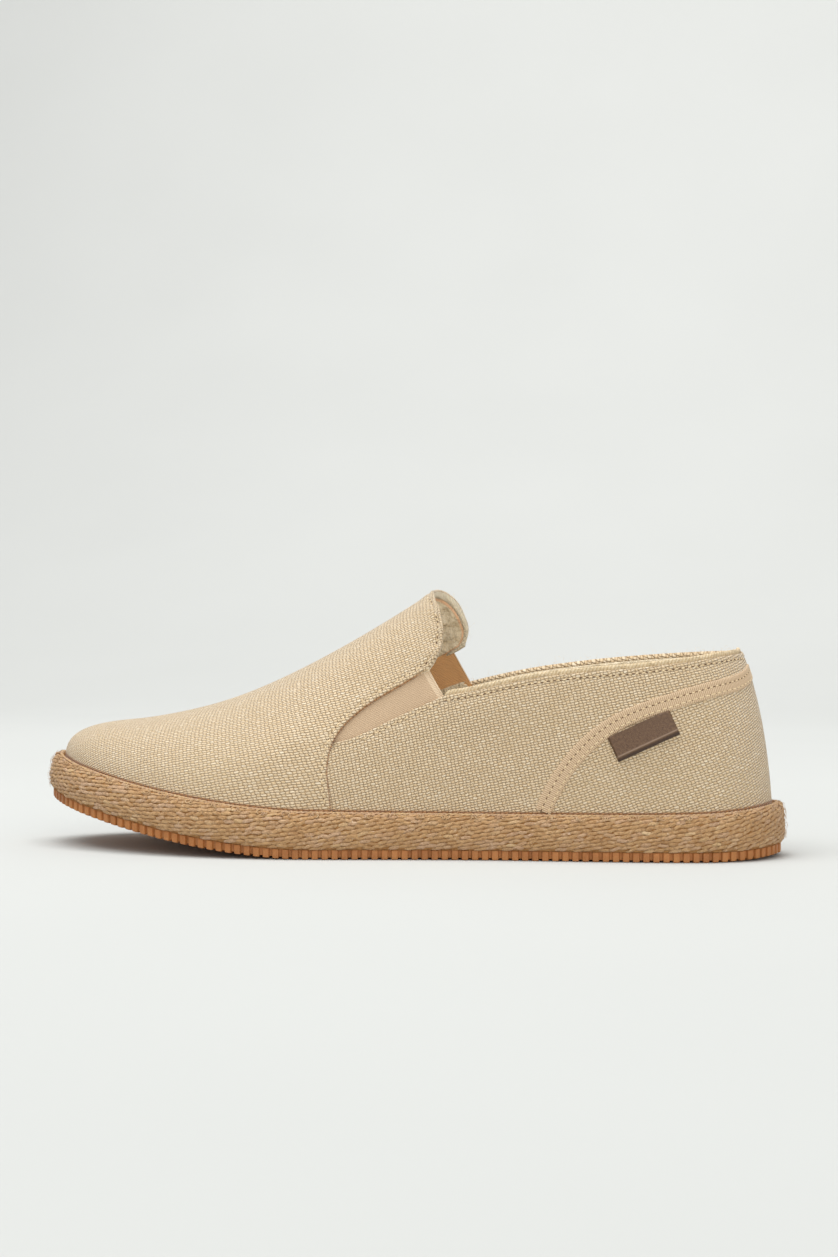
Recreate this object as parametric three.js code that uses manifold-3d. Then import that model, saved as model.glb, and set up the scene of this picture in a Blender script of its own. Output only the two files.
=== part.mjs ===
// Left slip-on espadrille, size EU 42: a canvas upper with two elastic gores, on a jute sole and a
// rubber outsole.
//
// Millimetres, +Z up, standing on Z = 0. The toe points to -X and the heel to +X; the lateral side is -Y.
// Shapes are worked out in the last's own terms: s runs forward from the back of the heel, and y towards
// the medial side.
import * as THREE from 'three';
import Module from 'manifold-3d';
import { mergeVertices } from 'three/addons/utils/BufferGeometryUtils.js';

const wasm = await Module();
wasm.setup();

// ---------------------------------------------------------------- driving dimensions
const LENGTH = 290; // back of the heel to tip of the toe, over the jute
// How far the sole rises to the tip of the toe, and from where.
const TOE_SPRING = { lift: 19.4, from: 176, power: 1.55 };
const HEEL_SPRING = { lift: 1.8, to: 30, power: 2 }; // the small bevel under the back of the heel
const GAP = 0.3; // clearance between pieces that touch
// Outsole, and how far its edge sits in from the jute's.
const RUBBER = { thick: 3.6, inset: 1.4, bevel: 0.5 };
const JUTE_FLOOR = 11.5; // height of the jute floor that carries the upper and the insole
// Jute rim round the foot of the upper. belly: the share of its height where it is widest. shoulder: the
// share of its lean that it has reached two rounds below its top. flare: how much it opens inside at the top,
// to clear the upper where that bulges.
const BAND = { thick: 3.3, round: 1.1, belly: 0.35, shoulder: 0.55, flare: 0.4 };
const INSOLE = { thick: 3.5, inset: 0.9, round: 0.8 };
const WALL = 2.2; // canvas, interlining and lining together
const GORE = { thick: 1.5, sunk: 0.4 }; // elastic, a little below the canvas
// Tape over the heel seam, and the height where it stops.
const TAPE = { thick: 0.7, width: 6, foot: 17.3 };
// Folded leather tab under the tape: its middle, size, and tilt in degrees.
const LABEL = { s: 50.9, z: 45.6, long: 24.5, tall: 9.5, thick: 1.6, tilt: 25 };

// ---------------------------------------------------------------- sections of the last
// One row for each section, from the back of the heel to the tip of the toe.
// sLat, lat, sMed, med: where the section meets the sole's edge on each side.
// spineS, spineY, spineZ: its highest point. Behind the throat that is above the collar, and is cut away.
// square: 2 is an ellipse and more is boxier. tuck: how far the wall draws in above the sole on each side.
// fall: slope of the ridge. band: height of the jute's top over the underside. lean: how far it leans in.
const SECTIONS = table(
  [
    'sLat', 'lat', 'sMed', 'med', 'spineS', 'spineY', 'spineZ',
    'square', 'tuckLat', 'tuckMed', 'fall', 'band', 'lean',
  ],
  [0, 1, 0, 1, 57, 1, 118, 1.98, 1, 1, 0, 18.6, 0.9],
  [6, -17, 6, 18.5, 57.5, 1, 118, 2, 1.1, 1.1, 0, 18.3, 0.9],
  [20, -28.5, 20, 29, 60, 1, 118, 2.1, 1.3, 1.3, 0, 17.6, 0.9],
  [42, -34, 42, 33.5, 68, 0.5, 118, 2.2, 1.3, 1, 0, 17, 0.9],
  [75, -36, 75, 31, 86, 0, 117, 2.4, 1, -1.5, -0.1, 16.7, 0.9],
  [110, -37.5, 111, 30.5, 112, 0.5, 111, 2.35, 0.5, -2.5, -0.4, 16.7, 1],
  [145, -42, 146, 36.5, 146, 1.5, 91.5, 2.15, 0, -1.5, -0.58, 16.9, 1.1],
  [180, -47.5, 180, 46.5, 180, 3, 72.3, 2.15, -0.5, 0, -0.52, 17.4, 1.4],
  [212, -47, 213, 50.5, 210, 4.5, 59, 2.25, 0, 0, -0.36, 17.4, 1.7],
  [239, -40, 242, 46.5, 233, 5.5, 52.6, 2.45, 0, 0, -0.24, 17.2, 2],
  [262, -29.5, 267, 37.5, 247, 6, 50, 2.8, 0, 0, -0.15, 17.2, 2.2],
  [280, -15.5, 284, 23.5, 253, 6, 49.2, 3.1, 0, 0, -0.11, 17.3, 2.3],
  [290, 5, 290, 5, 255, 6, 49, 3.2, 0, 0, -0.1, 17.5, 2.3],
);
const HALF = SECTIONS.length - 1; // sections along one side
const ROUND = 2 * HALF; // once round the shoe: forward on the lateral side, and back on the medial side
const STEPS = 4; // facets between two sections
const RISE = 12; // facets from the sole up to the spine

// ---------------------------------------------------------------- seam lines, seen from the side, as [s, z]
// Top edge of the collar, from the gore back to the heel.
const TOPLINE = {
  lateral: [
    [124.2, 60.3], [114, 61.9], [101, 64.8], [87, 67.4], [71, 69.2],
    [54, 70.6], [34, 73], [18, 75.6], [4, 77],
  ],
  medial: [[122.4, 64.4], [108, 67.8], [93, 70.6], [72, 73.3], [54, 74.9], [36, 76.1], [19, 76.8], [4, 77]],
};
// Free edge of the vamp's tab, from its corner on the gore up to the top of the instep.
const TAB_EDGE = {
  lateral: [
    [130.6, 70], [127.4, 75], [126, 81], [126.4, 87],
    [128.6, 93], [131.2, 97], [133.2, 100.2], [134.4, 102],
  ],
  medial: [
    [128.6, 76.4], [124.6, 79], [122.8, 84], [123.4, 89],
    [125.6, 94], [129.4, 98], [133.2, 100.2], [136, 102],
  ],
};
// Vamp edge over the gore, from the tab's corner forward and down.
const GORE_TOP = {
  lateral: [[130.6, 70], [141, 63.7], [151.8, 57.2], [160, 50.5], [163, 43]],
  medial: [[128.6, 76.4], [140, 69], [151, 62], [160, 54.5], [163, 47]],
};
// Quarter edge under the gore, from the collar forward.
const GORE_FOOT = {
  lateral: [[124.2, 60.3], [135, 55.6], [145.3, 50.6], [155.6, 45.6], [163, 43]],
  medial: [[122.4, 64.4], [135, 59.8], [145.3, 54.8], [155.6, 49.8], [163, 47]],
};
// Middle of the tape over the heel seam, from behind the heel down to the sole.
const TAPE_LINE = [
  [-8, 68.8], [2, 68.8], [14, 67], [28, 62.2], [42, 57.9], [56, 52.8],
  [67, 46.2], [75, 38.6], [82, 29], [87.5, 18], [90, 8],
];

// ---------------------------------------------------------------- curves
function table(names, ...rows) {
  return rows.map((row) => Object.fromEntries(row.map((value, i) => [names[i], value])));
}

// Control values of the closed cubic B-spline through the given knots.
function splineControls(knots) {
  const n = knots.length;
  const controls = [...knots];
  const sweeps = 60;
  for (let sweep = 0; sweep < sweeps; sweep++)
    for (let i = 0; i < n; i++) {
      const neighbours = controls[(i + n - 1) % n] + controls[(i + 1) % n];
      controls[i] = (6 * knots[i] - neighbours) / 4;
    }
  return controls;
}

function splineAt(controls, u) {
  const n = controls.length;
  const i = Math.floor(u);
  const f = u - i;
  const at = (k) => controls[(((i + k) % n) + n) % n];
  const weights = [(1 - f) ** 3, 3 * f ** 3 - 6 * f ** 2 + 4, -3 * f ** 3 + 3 * f ** 2 + 3 * f + 1, f ** 3];
  return weights.reduce((sum, weight, k) => sum + weight * at(k - 1), 0) / 6;
}

// A column of the section table as a smooth function of u, once round the shoe from 0 to ROUND.
function column(lateral, medial = lateral) {
  const knots = [];
  for (let k = 0; k <= HALF; k++) knots.push(SECTIONS[k][lateral]);
  for (let k = HALF - 1; k > 0; k--) knots.push(SECTIONS[k][medial]);
  const controls = splineControls(knots);
  return (u) => splineAt(controls, u);
}

const edgeS = column('sLat', 'sMed');
const edgeY = column('lat', 'med');
const spineS = column('spineS');
const spineY = column('spineY');
const spineZ = column('spineZ');
const square = column('square');
const tuck = column('tuckLat', 'tuckMed');
const fall = column('fall');
const band = column('band');
const lean = column('lean');

// A smooth line through a few side-view points.
function smooth(points, pieces = 24) {
  const curve = new THREE.SplineCurve(points.map(([s, z]) => new THREE.Vector2(s, z)));
  return curve.getPoints(pieces).map(({ x, y }) => [x, y]);
}

// ---------------------------------------------------------------- the last
// Height of the sole's underside above the floor.
function lift(s) {
  const toe = Math.max(0, (s - TOE_SPRING.from) / (LENGTH - TOE_SPRING.from));
  const heel = Math.max(0, (HEEL_SPRING.to - s) / HEEL_SPRING.to);
  return TOE_SPRING.lift * toe ** TOE_SPRING.power + HEEL_SPRING.lift * heel ** HEEL_SPRING.power;
}

// The sole's outline in plan, moved in by inset.
function outline(u, inset) {
  const step = 1e-3;
  const ds = edgeS(u + step) - edgeS(u - step);
  const dy = edgeY(u + step) - edgeY(u - step);
  const length = Math.hypot(ds, dy);
  return { s: edgeS(u) - (dy / length) * inset, y: edgeY(u) + (ds / length) * inset };
}

// A point of the upper's surface: u runs round the shoe, and v rises from 0 at the sole to 1 at the spine.
// grow moves the surface out, or in where it is negative.
function upperPoint(u, v, grow) {
  const foot = outline(u, lean(u) + BAND.thick + GAP - grow);
  const footZ = lift(foot.s) + JUTE_FLOOR + GAP;
  const topZ = spineZ(u) + grow;
  const power = 2 / square(u);
  const across = 1 - Math.cos((v * Math.PI) / 2) ** power;
  const up = Math.sin((v * Math.PI) / 2) ** power;
  const ds = spineS(u) - foot.s;
  const dy = spineY(u) - foot.y;
  const tucked = (tuck(u) * (1 - (1 - up) ** 6) * (1 - up)) / Math.hypot(ds, dy);
  const s = foot.s + ds * (across + tucked);
  const y = foot.y + dy * (across + tucked);
  return [s, y, footZ + (topZ - footZ) * up + fall(u) * (s - spineS(u)) * up ** 2];
}

// ---------------------------------------------------------------- solids
const MIDDLE = middleOfOutline();

function middleOfOutline() {
  const ys = samples().map((u) => edgeY(u));
  return (Math.min(...ys) + Math.max(...ys)) / 2;
}

// Where the facets of a ring begin, once round the shoe.
function samples() {
  return Array.from({ length: ROUND * STEPS }, (_, i) => i / STEPS);
}

// From the last's s, y, z to the part's frame.
const place = ([s, y, z]) => [LENGTH / 2 - s, y - MIDDLE, z];

function solidOf(geometry) {
  const bare = new THREE.BufferGeometry().setAttribute('position', geometry.getAttribute('position'));
  if (geometry.index) bare.setIndex(geometry.index);
  const merged = mergeVertices(bare, 1e-3);
  const mesh = new wasm.Mesh({
    numProp: 3,
    vertProperties: merged.attributes.position.array,
    triVerts: new Uint32Array(merged.index.array),
  });
  return new wasm.Manifold(mesh);
}

// A closed body through rings of points that run round the shoe, lowest outer ring first.
// Its ends are closed straight across the shoe, or meet in the spine when the last ring is folded there.
function loft(rings, endsAtSpine = false) {
  const n = ROUND * STEPS;
  const half = n / 2;
  const positions = rings.flat().flatMap(place);
  const triangles = [];
  const quad = (a, b, c, d) => {
    if (a !== b && b !== c && a !== c) triangles.push(a, c, b);
    if (a !== c && c !== d && a !== d) triangles.push(a, d, c);
  };
  const index = (ring, k) => {
    const around = k % n;
    const folded = endsAtSpine && ring === rings.length - 1 && around > half;
    return ring * n + (folded ? n - around : around);
  };
  for (let ring = 0; ring + 1 < rings.length; ring++)
    for (let k = 0; k < n; k++)
      quad(index(ring, k), index(ring, k + 1), index(ring + 1, k + 1), index(ring + 1, k));
  for (let k = 0; k < half; k++) {
    quad(index(0, n - k), index(0, n - k - 1), index(0, k + 1), index(0, k));
    const last = rings.length - 1;
    if (!endsAtSpine) quad(index(last, k), index(last, k + 1), index(last, n - k - 1), index(last, n - k));
  }
  const geometry = new THREE.BufferGeometry();
  geometry.setAttribute('position', new THREE.Float32BufferAttribute(positions, 3));
  geometry.setIndex(triangles);
  return solidOf(geometry);
}

// A ring of the sole: inset from the outline, at a height over the underside. Either may depend on u.
function soleRing(inset, height) {
  return samples().map((u) => {
    const { s, y } = outline(u, typeof inset === 'function' ? inset(u) : inset);
    return [s, y, lift(s) + (typeof height === 'function' ? height(u) : height)];
  });
}

// The whole form of the upper, closed at the spine. below carries it straight down past its foot.
function form(grow, below = 0) {
  const rings = [];
  const ring = (v) => samples().map((u) => upperPoint(u, v, grow));
  if (below) rings.push(ring(0).map(([s, y, z]) => [s, y, z - below]));
  for (let j = 0; j <= RISE; j++) rings.push(ring(j / RISE));
  return loft(rings, true);
}

// A cutter with the given side-view outline, from y = low to y = high.
function prism(points, low, high) {
  const shape = new THREE.Shape(points.map(([s, z]) => new THREE.Vector2(LENGTH / 2 - s, z)));
  const geometry = new THREE.ExtrudeGeometry(shape, { depth: high - low, bevelEnabled: false });
  geometry.rotateX(Math.PI / 2);
  geometry.translate(0, high - MIDDLE, 0);
  return solidOf(geometry);
}

// Cutters only have to reach past the shoe.
const FAR = 90; // to either side
const BELOW = 5; // below the foot of the upper
const ABOVE = 140; // over the tab
const BEHIND = -20; // behind the heel, as s
const SLIT = 1e-3; // the gore's slot is this much wider than its seam lines, so that no sliver is left
const SPINE = 1.1; // y where the two sides meet on the instep
const SIDES = { lateral: [-FAR, SPINE], medial: [SPINE, FAR] };

// Everything above the collar and behind the tab, on one side.
function openingCutter(side) {
  const collar = smooth(TOPLINE[side]);
  const tab = smooth(TAB_EDGE[side]);
  const [apex] = tab[tab.length - 1];
  const [, heelZ] = collar[collar.length - 1];
  const corners = [[BEHIND, heelZ], [BEHIND, ABOVE], [apex, ABOVE]];
  return prism([...tab.reverse(), ...collar, ...corners], ...SIDES[side]);
}

// The gore's outline from the side, drawn in by inset all round.
function goreOutline(side, inset) {
  const sharpest = 0.35; // keeps the pointed front corner short
  const upper = smooth(GORE_TOP[side], 12);
  const lower = smooth(GORE_FOOT[side], 12);
  const points = [...upper, ...lower.reverse().slice(1)];
  return points.map((point, i) => {
    const before = points[(i + points.length - 1) % points.length];
    const after = points[(i + 1) % points.length];
    const [ax, az] = unit(point, before);
    const [bx, bz] = unit(after, point);
    const turn = Math.max(sharpest, Math.sqrt((1 + ax * bx + az * bz) / 2));
    const [nx, nz] = unit([az + bz, -(ax + bx)], [0, 0]);
    return [point[0] + (nx * inset) / turn, point[1] + (nz * inset) / turn];
  });
}

function unit(to, from) {
  const length = Math.hypot(to[0] - from[0], to[1] - from[1]);
  return [(to[0] - from[0]) / length, (to[1] - from[1]) / length];
}

// The heel tape's outline from the side, with a margin all round.
function tapeOutline(margin) {
  const middle = smooth(TAPE_LINE, 30);
  const edge = (side) =>
    middle.map((point, i) => {
      const [ds, dz] = unit(middle[Math.min(i + 1, middle.length - 1)], middle[Math.max(i - 1, 0)]);
      const half = side * (TAPE.width / 2 + margin);
      return [point[0] - dz * half, point[1] + ds * half];
    });
  return [...edge(1), ...edge(-1).reverse()];
}

// ---------------------------------------------------------------- pieces
function outsole() {
  const bottom = soleRing(RUBBER.inset + RUBBER.bevel, 0);
  const side = soleRing(RUBBER.inset, RUBBER.bevel);
  const top = soleRing(RUBBER.inset, RUBBER.thick);
  return loft([bottom, side, top]);
}

function juteSole() {
  const base = RUBBER.thick + GAP;
  const inner = (u) => lean(u) + BAND.thick;
  const belly = (u) => base + BAND.belly * (band(u) - base);
  const topCorner = (degrees) => {
    const angle = (degrees * Math.PI) / 180;
    const across = BAND.round * (1 - Math.cos(angle));
    const down = BAND.round * (1 - Math.sin(angle));
    return soleRing((u) => lean(u) + across, (u) => band(u) - down);
  };
  return loft([
    soleRing(BAND.round, base),
    soleRing(BAND.round * 0.2, base + BAND.round),
    soleRing(0, belly),
    soleRing((u) => BAND.shoulder * lean(u), (u) => band(u) - 2 * BAND.round),
    topCorner(20),
    topCorner(80),
    soleRing((u) => inner(u) - BAND.flare - 0.5 * BAND.round, band),
    soleRing((u) => inner(u) - BAND.flare, (u) => band(u) - 0.5 * BAND.round),
    soleRing(inner, JUTE_FLOOR),
  ]);
}

function insole() {
  const edge = (u) => lean(u) + BAND.thick + GAP + WALL + INSOLE.inset;
  const base = JUTE_FLOOR + GAP;
  return loft([
    soleRing(edge, base),
    soleRing(edge, base + INSOLE.thick - INSOLE.round),
    soleRing((u) => edge(u) + INSOLE.round, base + INSOLE.thick),
  ]);
}

function upper() {
  let shell = form(0).subtract(form(-WALL, BELOW));
  for (const side of Object.keys(SIDES)) {
    shell = shell.subtract(openingCutter(side));
    shell = shell.subtract(prism(goreOutline(side, -SLIT), ...SIDES[side]));
  }
  return shell;
}

function gore(side) {
  const outer = form(-GORE.sunk);
  const sheet = outer.subtract(form(-GORE.sunk - GORE.thick, BELOW));
  return sheet.intersect(prism(goreOutline(side, GAP), ...SIDES[side]));
}

function heelTape() {
  const sheet = form(GAP + TAPE.thick).subtract(form(GAP, BELOW));
  const heelHalf = [[BEHIND, TAPE.foot], [LENGTH / 2, TAPE.foot], [LENGTH / 2, ABOVE], [BEHIND, ABOVE]];
  return sheet.intersect(prism(tapeOutline(0), -FAR, FAR)).intersect(prism(heelHalf, -FAR, FAR));
}

function label() {
  const sheet = form(GAP + LABEL.thick).subtract(form(GAP, BELOW));
  const tilt = (LABEL.tilt * Math.PI) / 180;
  const corner = (a, b) => [
    LABEL.s + a * (LABEL.long / 2) * Math.cos(tilt) + b * (LABEL.tall / 2) * Math.sin(tilt),
    LABEL.z - a * (LABEL.long / 2) * Math.sin(tilt) + b * (LABEL.tall / 2) * Math.cos(tilt),
  ];
  const outlinePoints = [corner(-1, -1), corner(1, -1), corner(1, 1), corner(-1, 1)];
  const flap = sheet.intersect(prism(outlinePoints, -FAR, 0));
  return flap.subtract(prism(tapeOutline(GAP), -FAR, FAR));
}

// ---------------------------------------------------------------- materials and assembly
const MATERIALS = {
  canvas: { color: 0xdcc9a4, roughness: 0.95, metalness: 0 },
  elastic: { color: 0xd4b793, roughness: 0.9, metalness: 0 },
  tape: { color: 0xcfb28b, roughness: 0.9, metalness: 0 },
  jute: { color: 0xb08f62, roughness: 1, metalness: 0 },
  rubber: { color: 0xaf7442, roughness: 0.6, metalness: 0 },
  insole: { color: 0xd8cfbd, roughness: 0.95, metalness: 0 },
  label: { color: 0x6b5848, roughness: 0.7, metalness: 0 },
};

function meshOf(name, solid, material) {
  const { numProp, numVert, vertProperties, triVerts } = solid.getMesh();
  const positions = new Float32Array(numVert * 3);
  for (let i = 0; i < numVert; i++)
    positions.set(vertProperties.subarray(i * numProp, i * numProp + 3), i * 3);
  const geometry = new THREE.BufferGeometry();
  geometry.setAttribute('position', new THREE.BufferAttribute(positions, 3));
  geometry.setIndex(new THREE.BufferAttribute(triVerts, 1));
  geometry.computeVertexNormals();
  const mesh = new THREE.Mesh(geometry, new THREE.MeshStandardMaterial(MATERIALS[material]));
  mesh.name = name;
  return mesh;
}

const espadrille = new THREE.Group();
espadrille.add(
  meshOf('outsole', outsole(), 'rubber'),
  meshOf('jute_sole', juteSole(), 'jute'),
  meshOf('insole', insole(), 'insole'),
  meshOf('upper', upper(), 'canvas'),
  meshOf('gore_lateral', gore('lateral'), 'elastic'),
  meshOf('gore_medial', gore('medial'), 'elastic'),
  meshOf('heel_tape', heelTape(), 'tape'),
  meshOf('label', label(), 'label'),
);
export default espadrille;
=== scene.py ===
"""The looks of a left slip-on espadrille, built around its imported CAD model.

The pieces follow the sections of the last, as the CAD solids do. s runs forward from the back of the heel,
y towards the medial side and z up, in millimetres; place() takes them to the row frame, in metres. A point
of the upper is (u, v): u runs round the shoe by the lateral side, and v rises from the sole to the spine.
"""
import math

import bmesh
import bpy
import numpy as np
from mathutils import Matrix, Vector


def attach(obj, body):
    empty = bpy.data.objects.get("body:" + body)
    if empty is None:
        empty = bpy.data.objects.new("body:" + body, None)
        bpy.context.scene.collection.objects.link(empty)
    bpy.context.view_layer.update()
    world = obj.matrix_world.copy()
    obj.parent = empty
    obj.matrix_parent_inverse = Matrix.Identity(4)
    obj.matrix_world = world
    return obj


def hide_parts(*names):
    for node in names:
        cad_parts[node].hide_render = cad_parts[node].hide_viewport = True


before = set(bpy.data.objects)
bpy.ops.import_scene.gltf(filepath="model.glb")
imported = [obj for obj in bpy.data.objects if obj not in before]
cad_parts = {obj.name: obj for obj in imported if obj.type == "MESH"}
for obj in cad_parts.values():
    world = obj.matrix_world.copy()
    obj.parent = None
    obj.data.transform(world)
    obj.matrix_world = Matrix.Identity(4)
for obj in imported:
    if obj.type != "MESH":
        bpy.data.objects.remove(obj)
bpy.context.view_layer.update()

# Sizes shared with the CAD part, in millimetres.
LENGTH = 290.0
TOE_SPRING = {"lift": 19.4, "from": 176.0, "power": 1.55}
HEEL_SPRING = {"lift": 1.8, "to": 30.0, "power": 2.0}
GAP = 0.3
RUBBER = {"thick": 3.6, "inset": 1.4}
JUTE_FLOOR = 11.5
BAND_THICK = 3.3
INSOLE = {"thick": 3.5, "inset": 0.9}
WALL = 2.2
LABEL = {"s": 50.9, "z": 45.6, "long": 24.5, "tall": 9.5, "tilt": 25.0}

# One row a section, from the back of the heel to the tip of the toe: where it meets the sole's edge on the
# lateral and the medial side, its highest point, and how it curves between them.
COLUMNS = ("s_lat", "lat", "s_med", "med", "spine_s", "spine_y", "spine_z",
           "square", "tuck_lat", "tuck_med", "fall", "band", "lean")
SECTIONS = (
    (0, 1, 0, 1, 57, 1, 118, 1.98, 1, 1, 0, 18.6, 0.9),
    (6, -17, 6, 18.5, 57.5, 1, 118, 2, 1.1, 1.1, 0, 18.3, 0.9),
    (20, -28.5, 20, 29, 60, 1, 118, 2.1, 1.3, 1.3, 0, 17.6, 0.9),
    (42, -34, 42, 33.5, 68, 0.5, 118, 2.2, 1.3, 1, 0, 17, 0.9),
    (75, -36, 75, 31, 86, 0, 117, 2.4, 1, -1.5, -0.1, 16.7, 0.9),
    (110, -37.5, 111, 30.5, 112, 0.5, 111, 2.35, 0.5, -2.5, -0.4, 16.7, 1),
    (145, -42, 146, 36.5, 146, 1.5, 91.5, 2.15, 0, -1.5, -0.58, 16.9, 1.1),
    (180, -47.5, 180, 46.5, 180, 3, 72.3, 2.15, -0.5, 0, -0.52, 17.4, 1.4),
    (212, -47, 213, 50.5, 210, 4.5, 59, 2.25, 0, 0, -0.36, 17.4, 1.7),
    (239, -40, 242, 46.5, 233, 5.5, 52.6, 2.45, 0, 0, -0.24, 17.2, 2),
    (262, -29.5, 267, 37.5, 247, 6, 50, 2.8, 0, 0, -0.15, 17.2, 2.2),
    (280, -15.5, 284, 23.5, 253, 6, 49.2, 3.1, 0, 0, -0.11, 17.3, 2.3),
    (290, 5, 290, 5, 255, 6, 49, 3.2, 0, 0, -0.1, 17.5, 2.3),
)
HALF = len(SECTIONS) - 1
ROUND = 2 * HALF
SIDES = ("lateral", "medial")

# Seam lines seen from the side, as (s, z).
TOPLINE = {
    "lateral": ((124.2, 60.3), (114, 61.9), (101, 64.8), (87, 67.4), (71, 69.2), (54, 70.6), (34, 73),
                (18, 75.6), (4, 77)),
    "medial": ((122.4, 64.4), (108, 67.8), (93, 70.6), (72, 73.3), (54, 74.9), (36, 76.1), (19, 76.8),
               (4, 77)),
}
TAB_EDGE = {
    "lateral": ((130.6, 70), (127.4, 75), (126, 81), (126.4, 87), (128.6, 93), (131.2, 97),
                (133.2, 100.2), (134.4, 102)),
    "medial": ((128.6, 76.4), (124.6, 79), (122.8, 84), (123.4, 89), (125.6, 94), (129.4, 98),
               (133.2, 100.2), (136, 102)),
}
# Edge of the vamp, from the sole up round the front of the gore to the tab's corner.
VAMP_EDGE = {
    "lateral": ((165, 8), (165.4, 20), (166.8, 32), (166, 40), (163.6, 45.6), (159.6, 50.8), (151.8, 57.2),
                (141, 63.7), (130.6, 70)),
    "medial": ((165, 8), (165.6, 22), (166.8, 36), (166, 44), (163.6, 49.6), (159.6, 54.8), (151, 62),
               (140, 69), (128.6, 76.4)),
}
GORE_FOOT = {
    "lateral": ((124.2, 60.3), (135, 55.6), (145.3, 50.6), (155.6, 45.6), (163, 43)),
    "medial": ((122.4, 64.4), (135, 59.8), (145.3, 54.8), (155.6, 49.8), (163, 47)),
}
TAPE_LINE = ((14, 67), (28, 62.2), (42, 57.9), (56, 52.8), (67, 46.2), (75, 38.6), (82, 29), (87.5, 18))
TAPE_BACK = 68.8  # height of the tape at the back of the heel
TAPE_WIDTH = 6.0
OUTSIDE = -60.0  # a coordinate well outside the shoe, where its side-view areas are closed

# How fine the upper's meshes are: facets between two sections, and from the sole to the spine.
STEPS = 14
RISE = 56
SPINE_BLEND = 8.0  # to each side of the middle, where one side's lines give way to the other's
SPINE_Y = 1.0

STITCH_PITCH = 2.4
STITCH_IN = 2.1  # from an edge to the row of stitches beside it
HOLES = {"dark": (1.15, 0.34), "pale": (0.55, 0.34), "dot": (0.5, 0.26)}  # long, wide
HOLE_HIGH = 0.16
LINT = {"pitch": 0.9, "spread": 0.9, "stray": 0.7, "radius": 0.045}
EDGE_LINES = (0.2, 0.5, 1.0, 1.6, STITCH_IN, 2.6)  # from an edge, where the cloth has mesh lines
RIB_PITCH = 0.72  # of the tape
UPPER_ROW, LOWER_ROW = 0.7, -1.9  # the tape's two rows of stitches, from its middle line
CANVAS_PITCH = (1.46, 0.95)
THREAD = {"wide": 0.5, "high": 0.34}
CANVAS_TURN = {"vamp": 6.0, "quarters": -12.0, "heel_counter": -19.0}

# Where each cloth's outer and inner face lie, from the upper's outer face: at a cut edge, and how much they
# part from there.
LAYERS = {
    "vamp": ((-0.25, 0.3), (-0.3, 0.35)),
    "quarters": ((-0.35, 0.4), (-0.45, 0.45)),
    "lining": ((-1.45, 0.45), (-1.55, 0.6)),
}
GORE = {"tucked": -1.1, "raised": 0.55, "hem": 0.25, "thick": 0.75}

# Soft hollows and ridges in the cloth: side, from (s, z), to (s, z), half width, height outwards.
CREASES = (
    ("lateral", (168, 62), (214, 44), 9.0, -0.9),
    ("lateral", (176, 50), (196, 30), 7.0, 0.6),
    ("lateral", (150, 76), (176, 60), 6.0, 0.5),
    ("lateral", (108, 44), (136, 30), 9.0, -0.7),
    ("lateral", (86, 60), (120, 52), 8.0, 0.5),
    ("medial", (166, 62), (216, 42), 9.0, -1.0),
    ("medial", (178, 46), (200, 28), 7.0, 0.6),
    ("medial", (96, 50), (134, 34), 10.0, -0.8),
)

# The jute band. Its braid repeats along two steps, each (to the right, up) seen from outside.
BAND_BASE = RUBBER["thick"] + GAP
BAND_SHARES = (0.0, 0.09, 0.34, 0.68, 0.8, 0.9, 1.0)  # of the way up it, at its profile's corners
BRAID = {"step": (2.38, -1.01), "row": (7.46, 1.18), "long": 4.6, "wide": 1.36, "height": 14.6}
CORE_DEPTH = 0.3  # of the ground between the strands
ROLL = {"lay": 1.9, "thick": 0.42, "rise": 0.034, "share": 0.965, "sides": 6}
CURLS = {"pitch": 9.7, "each": 4, "apart": 0.85, "radius": 0.65, "share": 0.83}
HAIRS = 900

RIBS = {"count": 180, "deep": 1.0, "reach": 7.0}
# Along one rubber rib: how far, how deep the groove beside it, how deep the notch below it.
RIB_SHAPE = np.array((
    (0.0, 1.0, 1.0), (0.145, 1.0, 1.0), (0.17, 0.45, 0.85), (0.21, 0.08, 0.1), (0.33, 0.0, 0.0),
    (0.5, 0.0, 0.0), (0.67, 0.0, 0.0), (0.79, 0.08, 0.1), (0.83, 0.45, 0.85), (0.855, 1.0, 1.0),
))
FIELD = {"height": 0.9, "wave": 0.6, "pitch": 6.0, "zigzag": 3.0}  # the tread inside the sole's border

# The studio, in metres.
CAMERA = {"place": (0.1410, -0.76835, 0.0850), "azimuth": 10.0, "lens": 57.7, "sensor": 36.0}
LIGHTS = (  # name, place, target, size, power, colour
    ("key", (-0.55, -0.5, 1.8), (0.0, 0.0, 0.05), 1.4, 20.0, (0.965, 0.99, 1.0)),
    ("fill", (0.9, -1.8, 0.8), (0.0, 0.0, 0.05), 1.8, 17.0, (1.0, 0.985, 0.955)),
    ("wall", (0.0, 0.4, 3.2), (0.0, 2.9, 1.4), 2.4, 100.0, (1.0, 1.0, 1.0)),
)
WORLD = {"color": (240, 241, 243), "strength": 0.6}
STAGE = {"wide": 8.0, "front": -8.0, "back": 1.2, "radius": 1.8, "tall": 5.0}


# ---------------------------------------------------------------- curves
def smoothstep(low, high, x):
    t = np.clip((x - low) / (high - low), 0.0, 1.0)
    return t * t * (3.0 - 2.0 * t)


def rounded(distance, radius):
    """0 at an edge, rising as a quarter circle to 1 at the radius."""
    t = np.clip(distance / radius, 0.0, 1.0)
    return np.sqrt(1.0 - (1.0 - t) ** 2)


def groove(distance, at, width):
    return np.exp(-((distance - at) / width) ** 2)


def unit(vectors):
    return vectors / np.linalg.norm(vectors, axis=-1, keepdims=True)


def running(steps):
    """Running totals of steps along the last axis, from 0."""
    return np.concatenate([np.zeros(steps.shape[:-1] + (1,)), np.cumsum(steps, axis=-1)], axis=-1)


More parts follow.
